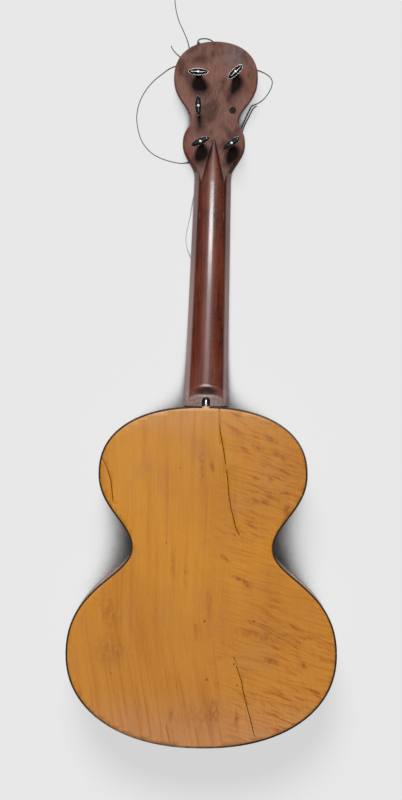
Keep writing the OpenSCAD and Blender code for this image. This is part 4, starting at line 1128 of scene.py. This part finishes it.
def neck_section(y):
    """Right half of the neck's section: side band, edge of the spear, crest."""
    if y > PRONG_AT:
        return spear_section(y)
    base, depth = wood_face(y), neck_depth(y)
    top = base + depth
    if y + NECK_LEN < HEEL_SWEEP[0][0]:
        top = max(top, heel_top(y))
    line = []
    for i in range(SIDE_STEPS):
        z = lerp(base, top, 1 - (1 - i / SIDE_STEPS) ** 2)
        shaft = neck_half(y) * math.sqrt(max(0, 1 - ((z - base) / depth) ** 2))
        line.append(((shaft**HEEL_BLEND + heel_x(y, z) ** HEEL_BLEND) ** (1 / HEEL_BLEND), z))
    line.append((0, top))
    crease = crease_half(y)
    k = next(k for k, (x, z) in enumerate(line) if x < crease)
    (x0, z0), (x1, z1) = line[k - 1], line[k]
    corner = (crease, lerp(z0, z1, (x0 - crease) / (x0 - x1)))
    sunk = (head_back(y) - base) / (corner[1] - base)
    sunk = lerp(1, min(sunk, 1), smooth_step(CREASE_FROM, PRONG_AT, y))
    band = [(x, base + (z - base) * sunk) for x, z in evenly(line[:k] + [corner], BAND_POINTS)]
    wall = [(corner[0], lerp(band[-1][1], corner[1], i / WALL_POINTS))
            for i in range(1, WALL_POINTS + 1)]
    return band + wall + evenly([corner] + line[k:], CREST_POINTS)


def spear_section(y):
    """Side band and ledge of the neck up to the nut, and the ridge of the spear."""
    base, plane = wood_face(min(y, 0)), head_back(y)
    half = max(spear_half(y), 0.05)
    if y <= 0:
        outer, inner = neck_half(y), prong_half(y)
        band = [(lerp(inner, outer, band_share(i / (BAND_POINTS - 1))),
                 lerp(base, plane, i / (BAND_POINTS - 1))) for i in range(BAND_POINTS)]
        ledge = [(inner - 0.02, plane - PRONG_T), (half + 0.02, plane - PRONG_T)]
    else:
        band = [(half + 0.02, plane - 1.5 * PRONG_T)] * BAND_POINTS
        ledge = [(half + 0.02, plane - PRONG_T)] * 2
    root = neck_section(PRONG_AT)[-CREST_POINTS:]
    rise = to_tip(y) ** RIDGE_FALL
    crest = [(half * x / root[0][0], plane + (z - head_back(PRONG_AT)) * rise) for x, z in root]
    return band + ledge + [(half, plane - 0.5)] * (WALL_POINTS - 2) + crest


def stations():
    """Distances from the nut of the sections, close together where the shape turns."""
    joint = -NECK_LEN
    made = [joint - 2 + 1.3 * i for i in range(9)]
    made += [joint + 9.8 + 0.25 * i for i in range(26)]
    made += [joint + 16.4 + 0.5 * i for i in range(26)]
    made += [joint + 30 + 5 * i for i in range(51)]
    made = [y for y in made if y < PRONG_AT - 2]
    made += [PRONG_AT - 1, PRONG_AT]
    made += [lerp(PRONG_AT + 0.02, 0, i / 12) for i in range(13)]
    return made + [0.02 + SPEAR_LEN * i / 30 for i in range(31)]


def make_neck():
    rows = [(y, neck_section(y)) for y in stations()]
    half_count = len(rows[0][1])
    columns = 2 * half_count - 1

    def corner(i, j):
        y, half = rows[j]
        i %= columns
        sign = 1
        if i >= half_count:
            i = columns - 1 - i
            sign = -1
        x, z = half[i]
        return NECK @ Vector((sign * x, y, z))
    piece = formed("neck_and_spear", columns + 1, len(rows), corner, closed=True)
    # the joint's flat face, square to the body
    big = 100
    face = plate("cutter", [(-big, -big), (big, -big), (big, 0), (-big, 0)], -big, 2 * big,
                 Matrix.Translation((0, JOINT_Y + JOINT_GAP, 0)))
    cut(piece, face)
    slot_y = -NECK_LEN + SLOT_L - SLOT_W / 2
    slot = ([(SLOT_W / 2, -NECK_LEN - 5)] + arc(SLOT_W / 2, (0, slot_y), math.pi, 16)
            + [(-SLOT_W / 2, -NECK_LEN - 5)])
    cut(piece, plate("cutter", slot, SCREW_Z, SCREW_Z + 40, NECK))
    cut(piece, rod(SLOT_W / 2, -4, SLOT_L, SCREW_AXIS))
    cut(piece, rod(SCREW_HOLE_R, -4, 40, SCREW_AXIS))
    eased(piece, 0.5, 2, 55)
    settle(piece, "neck", "neck_shaft", VARNISH)


make_neck()

# ---------- head ----------

EDGE_W, EDGE_ROUND, EDGE_FOOT, EDGE_POINTS = 2.2, 2.2, 2, 10
HOLLOW_DEPTH, HOLLOW_OUT, HOLLOW_W = 1.1, 4, 5.5
HEAD_STEPS = 100
HEAD_LINE = head_half()


def head_outline_half(u):
    """Half width of the head at a distance from the nut."""
    flare = FLARE * math.exp(-max(u, 0) / FLARE_REACH)
    for (x0, y0), (x1, y1) in zip(HEAD_LINE, HEAD_LINE[1:]):
        if y0 <= u <= y1 and y1 > y0:
            return lerp(x0, x1, (u - y0) / (y1 - y0)) + flare
    return 0


def hollow(x, u):
    """Scoop in the head's back beside the spear."""
    out = (abs(x) - spear_half(u) - HOLLOW_OUT) / HOLLOW_W
    along_it = smooth_step(-8, 8, u) * (1 - smooth_step(22, 44, u))
    return -HOLLOW_DEPTH * math.exp(-out * out) * along_it


def head_section(u):
    """Points (x, z) of half the head's section, from the face's middle round to the back's."""
    if u < 0:
        inner = prong_half(u) - 0.03
        low = HEAD_T - PRONG_T + 0.1
        side = [(inner, lerp(low, HEAD_T, i / EDGE_POINTS)) for i in range(EDGE_POINTS + 1)]
        face = [(0, low), (inner * 0.4, low), (inner * 0.8, low), (inner, low)]
    else:
        half = head_outline_half(u)
        inner = max(half - neck_half(0) + prong_half(0), 0)
        edge = min(EDGE_W, half * 0.6)
        side = []
        for i in range(EDGE_POINTS + 1):
            v = i / EDGE_POINTS
            foot = max(v * HEAD_T - EDGE_FOOT, 0) / (HEAD_T - EDGE_FOOT)
            lobe = half - edge * (1 - (1 - foot**EDGE_ROUND) ** (1 / EDGE_ROUND))
            side.append((lerp(lerp(inner, half, band_share(v)), lobe, smooth_step(0, 32, u)),
                         v * HEAD_T))
        face = [(0, 0), (half * 0.5, 0), (half * 0.9, 0), (half, 0)]
    reach = side[-1][0]
    back = [(lerp(reach, 0, i / 16), HEAD_T) for i in range(1, 17)]
    return face + side[1:] + back


def make_head():
    rows = [(PRONG_AT + 0.3 - PRONG_AT * i / 12) for i in range(12)]
    rows = [u for u in rows if u < -0.3] + [-0.01, 0]
    rows += [HEAD_LEN * (1 - (1 - (j + 1) / HEAD_STEPS) ** 1.5) for j in range(HEAD_STEPS)]
    rows = [(u, head_section(u)) for u in rows]
    half_count = len(rows[0][1])
    columns = 2 * half_count - 2

    def corner(i, j):
        u, half = rows[j]
        i %= columns
        sign = 1
        if i >= half_count:
            i = columns - i
            sign = -1
        x, z = half[i]
        if z > HEAD_T - 0.01:
            z += hollow(x, u)
        return HEAD @ Vector((sign * x, u, z))
    piece = formed("head_blank", columns + 1, len(rows), corner, closed=True)
    for u, w in [peg[:2] for peg in PEGS.values()] + [EMPTY_HOLE]:
        cut(piece, rod(PEG_R + 0.05, -5, HEAD_T + 5, HEAD @ Matrix.Translation((w, u, 0))))
    smooth_shaded(piece, 40)
    settle(piece, "neck", "headstock", STAIN)


make_head()

# ---------- fingerboard, frets and nut ----------

def fret_back(n):
    return SCALE_LEN * (1 - 2 ** (-n / 12))


def make_fret(n):
    """One fret: a half-round crown with its ends filed down."""
    back = fret_back(n)
    half = neck_half(-back) - 0.3
    stops = [(-half, 0.25), (-half + 0.5, 0.75), (-half + 1.2, 1), (half - 1.2, 1),
             (half - 0.5, 0.75), (half, 0.25)]

    def corner(i, j):
        x, size = stops[j]
        a = math.pi * i / 8
        return BOARD @ Vector((x, -back + FRET_W / 2 * math.cos(a) * min(size + 0.2, 1),
                               -FRET_H * math.sin(a) * size))
    return smooth_shaded(formed("fret", 9, len(stops), corner, closed=True), 50)


settle(eased(copied("fingerboard", "fingerboard_ebony"), 0.3, 1, 50), "neck", "fingerboard",
       EBONY)
settle(joined("fret_set", [make_fret(n + 1) for n in range(FRET_COUNT)]), "neck", "frets",
       BRASS)
settle(eased(copied("nut", "nut_bone"), 0.3, 1, 50), "neck", "nut", BONE)

# ---------- adjusting screw ----------

def make_screw():
    low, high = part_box("key_screw")
    start = (low.y / MM - JOINT_Y) + 0.2
    end = high.y / MM - JOINT_Y - 0.1
    profile = [(0, start), (2.6, start)]
    pitch = 1.25
    turns = int((-2 - start) / pitch)
    for i in range(turns):
        z = start + 0.4 + i * pitch
        profile += [(2.75, z), (3.2, z + pitch * 0.5)]
    profile += [(3.2, 0.5), (3.6, 0.6), (3.6, end - 3.2), (3.35, end - 2), (2.7, end - 0.9),
                (1.6, end - 0.2), (0, end)]
    piece = turned("adjusting_screw", profile, SCREW_AXIS, 32)
    settle(piece, "key_screw", "key_screw", STEEL)


make_screw()

# ---------- pegs ----------

# Grip of a peg: height above the head's back, share of its length, share of its thickness
GRIP_ROWS = [(3.4, 0.3, 0.9), (4.6, 0.34, 0.86), (6.5, 0.5, 0.8), (9, 0.74, 0.82),
             (12, 0.9, 0.9), (15.5, 0.98, 0.97), (19, 1, 1), (22.3, 1, 1), (22.7, 0.992, 0.975),
             (22.74, 0.985, 0.945), (22.74, 0.975, 0.915), (22.7, 0.97, 0.895),
             (22.5, 0.96, 0.86), (22.9, 0.8, 0.3), (23.1, 0.7, 0.03)]
RIM_FROM = 22.2
GRIP_OVER = 1.8
DOT_R = 1.6
WINDING_TURNS, TURN_STEPS, WINDING_OUT, WINDING_CLOSE = 3.3, 20, 0.95, 0.86


def lens(a, length, thick):
    """Point on a lens-shaped outline at an angle."""
    c, s = math.cos(a), math.sin(a)
    return (length / 2 * math.copysign(abs(c) ** 0.92, c),
            thick / 2 * math.copysign(abs(s) ** 1.2, s))


def make_peg(number, place):
    """The turned shank and the flattened grip, in one piece."""
    shank = [(0, -PEG_OUT), (PEG_R - 0.6, -PEG_OUT), (PEG_R, -PEG_OUT + 0.7), (PEG_R, HEAD_T),
             (PEG_R, HEAD_T + 0.4), (PEG_R + 0.4, HEAD_T + 0.6), (PEG_R + 0.5, HEAD_T + 1.3),
             (PEG_R + 0.2, HEAD_T + 1.9), (PEG_R - 0.9, HEAD_T + 2.3), (PEG_R - 1.2, HEAD_T + 3),
             (PEG_R - 1.1, HEAD_T + 4.6), (0, HEAD_T + 5)]
    stem = turned("stem", shank, place, 32)
    steps = 48

    def corner(i, j):
        rise, length, thick = GRIP_ROWS[j]
        x, y = lens(2 * math.pi * i / steps, GRIP_L * length, (GRIP_T + GRIP_OVER) * thick)
        return place @ Vector((x, y, HEAD_T + rise))
    grip = formed("grip", steps + 1, len(GRIP_ROWS), corner, closed=True)
    smooth_shaded(grip, 40)
    # the rings of the rim and the ridge stay crisp
    to_peg = place.inverted()
    for edge in grip.data.edges:
        heights = [(to_peg @ (grip.data.vertices[k].co / MM)).z - HEAD_T for k in edge.vertices]
        if min(heights) > RIM_FROM and abs(heights[0] - heights[1]) < 0.01:
            edge.use_edge_sharp = True
    piece = joined(f"peg_{number}_turned", [stem, grip])
    settle(piece, f"peg_{number}", f"peg_{number}", LACQUER)


def make_dot(number, place):
    top = HEAD_T + PEG_RISE
    dot = turned(f"peg_{number}_pearl", [(0, top - 0.8), (DOT_R, top - 0.8), (DOT_R, top - 0.2),
                                         (DOT_R - 0.3, top + 0.15), (0.6, top + 0.35),
                                         (0, top + 0.4)], place, 24)
    settle(dot, f"peg_{number}", f"peg_dot_{number}", PEARL)


def make_winding(number, place):
    """The string's turns round the peg's tip, from the head's face outwards."""
    r = PEG_R + STRING_D / 2
    path = []
    for i in range(int(WINDING_TURNS * TURN_STEPS) + 1):
        a = 2 * math.pi * i / TURN_STEPS
        z = -WINDING_OUT - STRING_D * WINDING_CLOSE * i / TURN_STEPS
        path.append(place @ Vector((r * math.cos(a), r * math.sin(a), z)))
    coil = tube(f"winding_{number}_turns", path, STRING_D / 2 * 0.92, 8)
    settle(coil, f"peg_{number}", f"winding_{number}", GUT)


for number, (u, w, turn) in PEGS.items():
    place = HEAD @ Matrix.Translation((w, u, 0)) @ Matrix.Rotation(math.radians(turn), 4, "Z")
    make_peg(number, place)
    make_dot(number, place)
    make_winding(number, place)

# ---------- CAD nodes that stay, with their finishes ----------

for name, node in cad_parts.items():
    inner = name.endswith("_block") or "_lining_" in name or "_bar_" in name
    if inner or name in ("bridge_plate", "screw_socket"):
        node.data.materials.clear()
        node.data.materials.append(IRON if name == "screw_socket" else BARE)

# ---------- floor, lights and world ----------

FLOOR_W_M, FLOOR_SHARE = 30, 0.8
# colours of the floor's glow: painted shade where it is closed in, and open paper
PAINTED_FLOOR_SHADE, OPEN_PAPER = (0.03, 0.028, 0.027, 1), (0.81, 0.81, 0.81, 1)
WORLD_DIM, WORLD_PALE, MIRRORED_SHARE = 0.03, 0.81, 0.1
STRIP_AT_M, STRIP_HIGH_M, STRIP_SIZE_M = -0.06, 2.7, (0.85, 0.17)
KEY_WAY = Vector((0.1, -0.88, -1))
KEY_SPREAD, KEY_STRENGTH = 0.42, 3.9


def pale_to_viewers(finish, share):
    """A surface that shows its own pale colour to the camera, mirrors and glass, with painted shade
    where it is closed in: its glow is darker near the object."""
    by_camera, by_mirror, by_glass = (
        finish.node("ShaderNodeLightPath", {}, (), f"Is {kind} Ray")
        for kind in ("Camera", "Glossy", "Transmission"))
    seen = by_camera + by_mirror + by_glass
    seen = seen.math("MINIMUM", seen, 1)
    # painted shade: the floor's glow turns dark where the object closes it in
    open_sky = finish.node("ShaderNodeAmbientOcclusion", {"samples": 20}, {"Distance": 0.13}, "AO")
    pale = finish.between(open_sky, 0.4, 0.53)
    colour = finish.mix(PAINTED_FLOOR_SHADE, OPEN_PAPER, pale)
    lit = Value(finish, finish.shader.outputs[0])
    glow = finish.node("ShaderNodeEmission", {}, {"Color": colour})
    mixed = finish.node("ShaderNodeMixShader", {}, {"Fac": seen * share, 1: lit, 2: glow})
    finish.plug(finish.tree.nodes["Material Output"].inputs["Surface"], mixed)


def make_floor():
    bpy.ops.object.select_all(action="DESELECT")
    bpy.ops.mesh.primitive_plane_add(size=FLOOR_W_M, location=(0, 0, 0))
    floor = bpy.context.active_object
    floor.name = "floor"
    f = Finish("floor_paper")
    f.colour = (0.8, 0.8, 0.8, 1)
    f.done(Roughness=0.9)
    pale_to_viewers(f, FLOOR_SHARE)
    floor.data.materials.append(f.material)


def make_world():
    """Dim to the object, so that shadows keep their depth, and pale to the camera, with a
    share of it in mirrors and glass."""
    world = bpy.data.worlds.new("studio")
    bpy.context.scene.world = world
    world.use_nodes = True
    nodes, links = world.node_tree.nodes, world.node_tree.links
    light_path, share = nodes.new("ShaderNodeLightPath"), nodes.new("ShaderNodeMapRange")
    mirrored_in, seen = nodes.new("ShaderNodeMath"), nodes.new("ShaderNodeMath")
    seen.operation = "MULTIPLY_ADD"
    seen.inputs[1].default_value = MIRRORED_SHARE
    links.new(light_path.outputs["Is Glossy Ray"], mirrored_in.inputs[0])
    links.new(light_path.outputs["Is Transmission Ray"], mirrored_in.inputs[1])
    links.new(mirrored_in.outputs[0], seen.inputs[0])
    links.new(light_path.outputs["Is Camera Ray"], seen.inputs[2])
    share.inputs["To Min"].default_value = WORLD_DIM
    share.inputs["To Max"].default_value = WORLD_PALE
    links.new(seen.outputs[0], share.inputs["Value"])
    nodes["Background"].inputs["Color"].default_value = (1, 1, 1, 1)
    links.new(share.outputs[0], nodes["Background"].inputs["Strength"])


def gloss_strip(name, way, power):
    """A strip lamp that faces down over the neck and the pegs and lights only what shines."""
    bpy.ops.object.light_add(type="AREA", location=(STRIP_AT_M, way, STRIP_HIGH_M))
    strip = bpy.context.active_object
    strip.name = name
    strip.data.shape = "RECTANGLE"
    strip.data.size, strip.data.size_y = STRIP_SIZE_M
    strip.data.energy = power
    strip.visible_diffuse = False


def key_light():
    """A broad sun from the head's side."""
    turn = KEY_WAY.to_track_quat("-Z", "Y").to_euler()
    bpy.ops.object.light_add(type="SUN", location=(-0.3, 2.6, 3), rotation=turn)
    key = bpy.context.active_object
    key.name = "key_light"
    key.data.energy = KEY_STRENGTH
    key.data.angle = KEY_SPREAD


make_floor()
gloss_strip("overhead_strip", 0.5, 27)
gloss_strip("overhead_glow", 0.34, 5)
key_light()
make_world()
bpy.context.scene.view_settings.view_transform = "Standard"
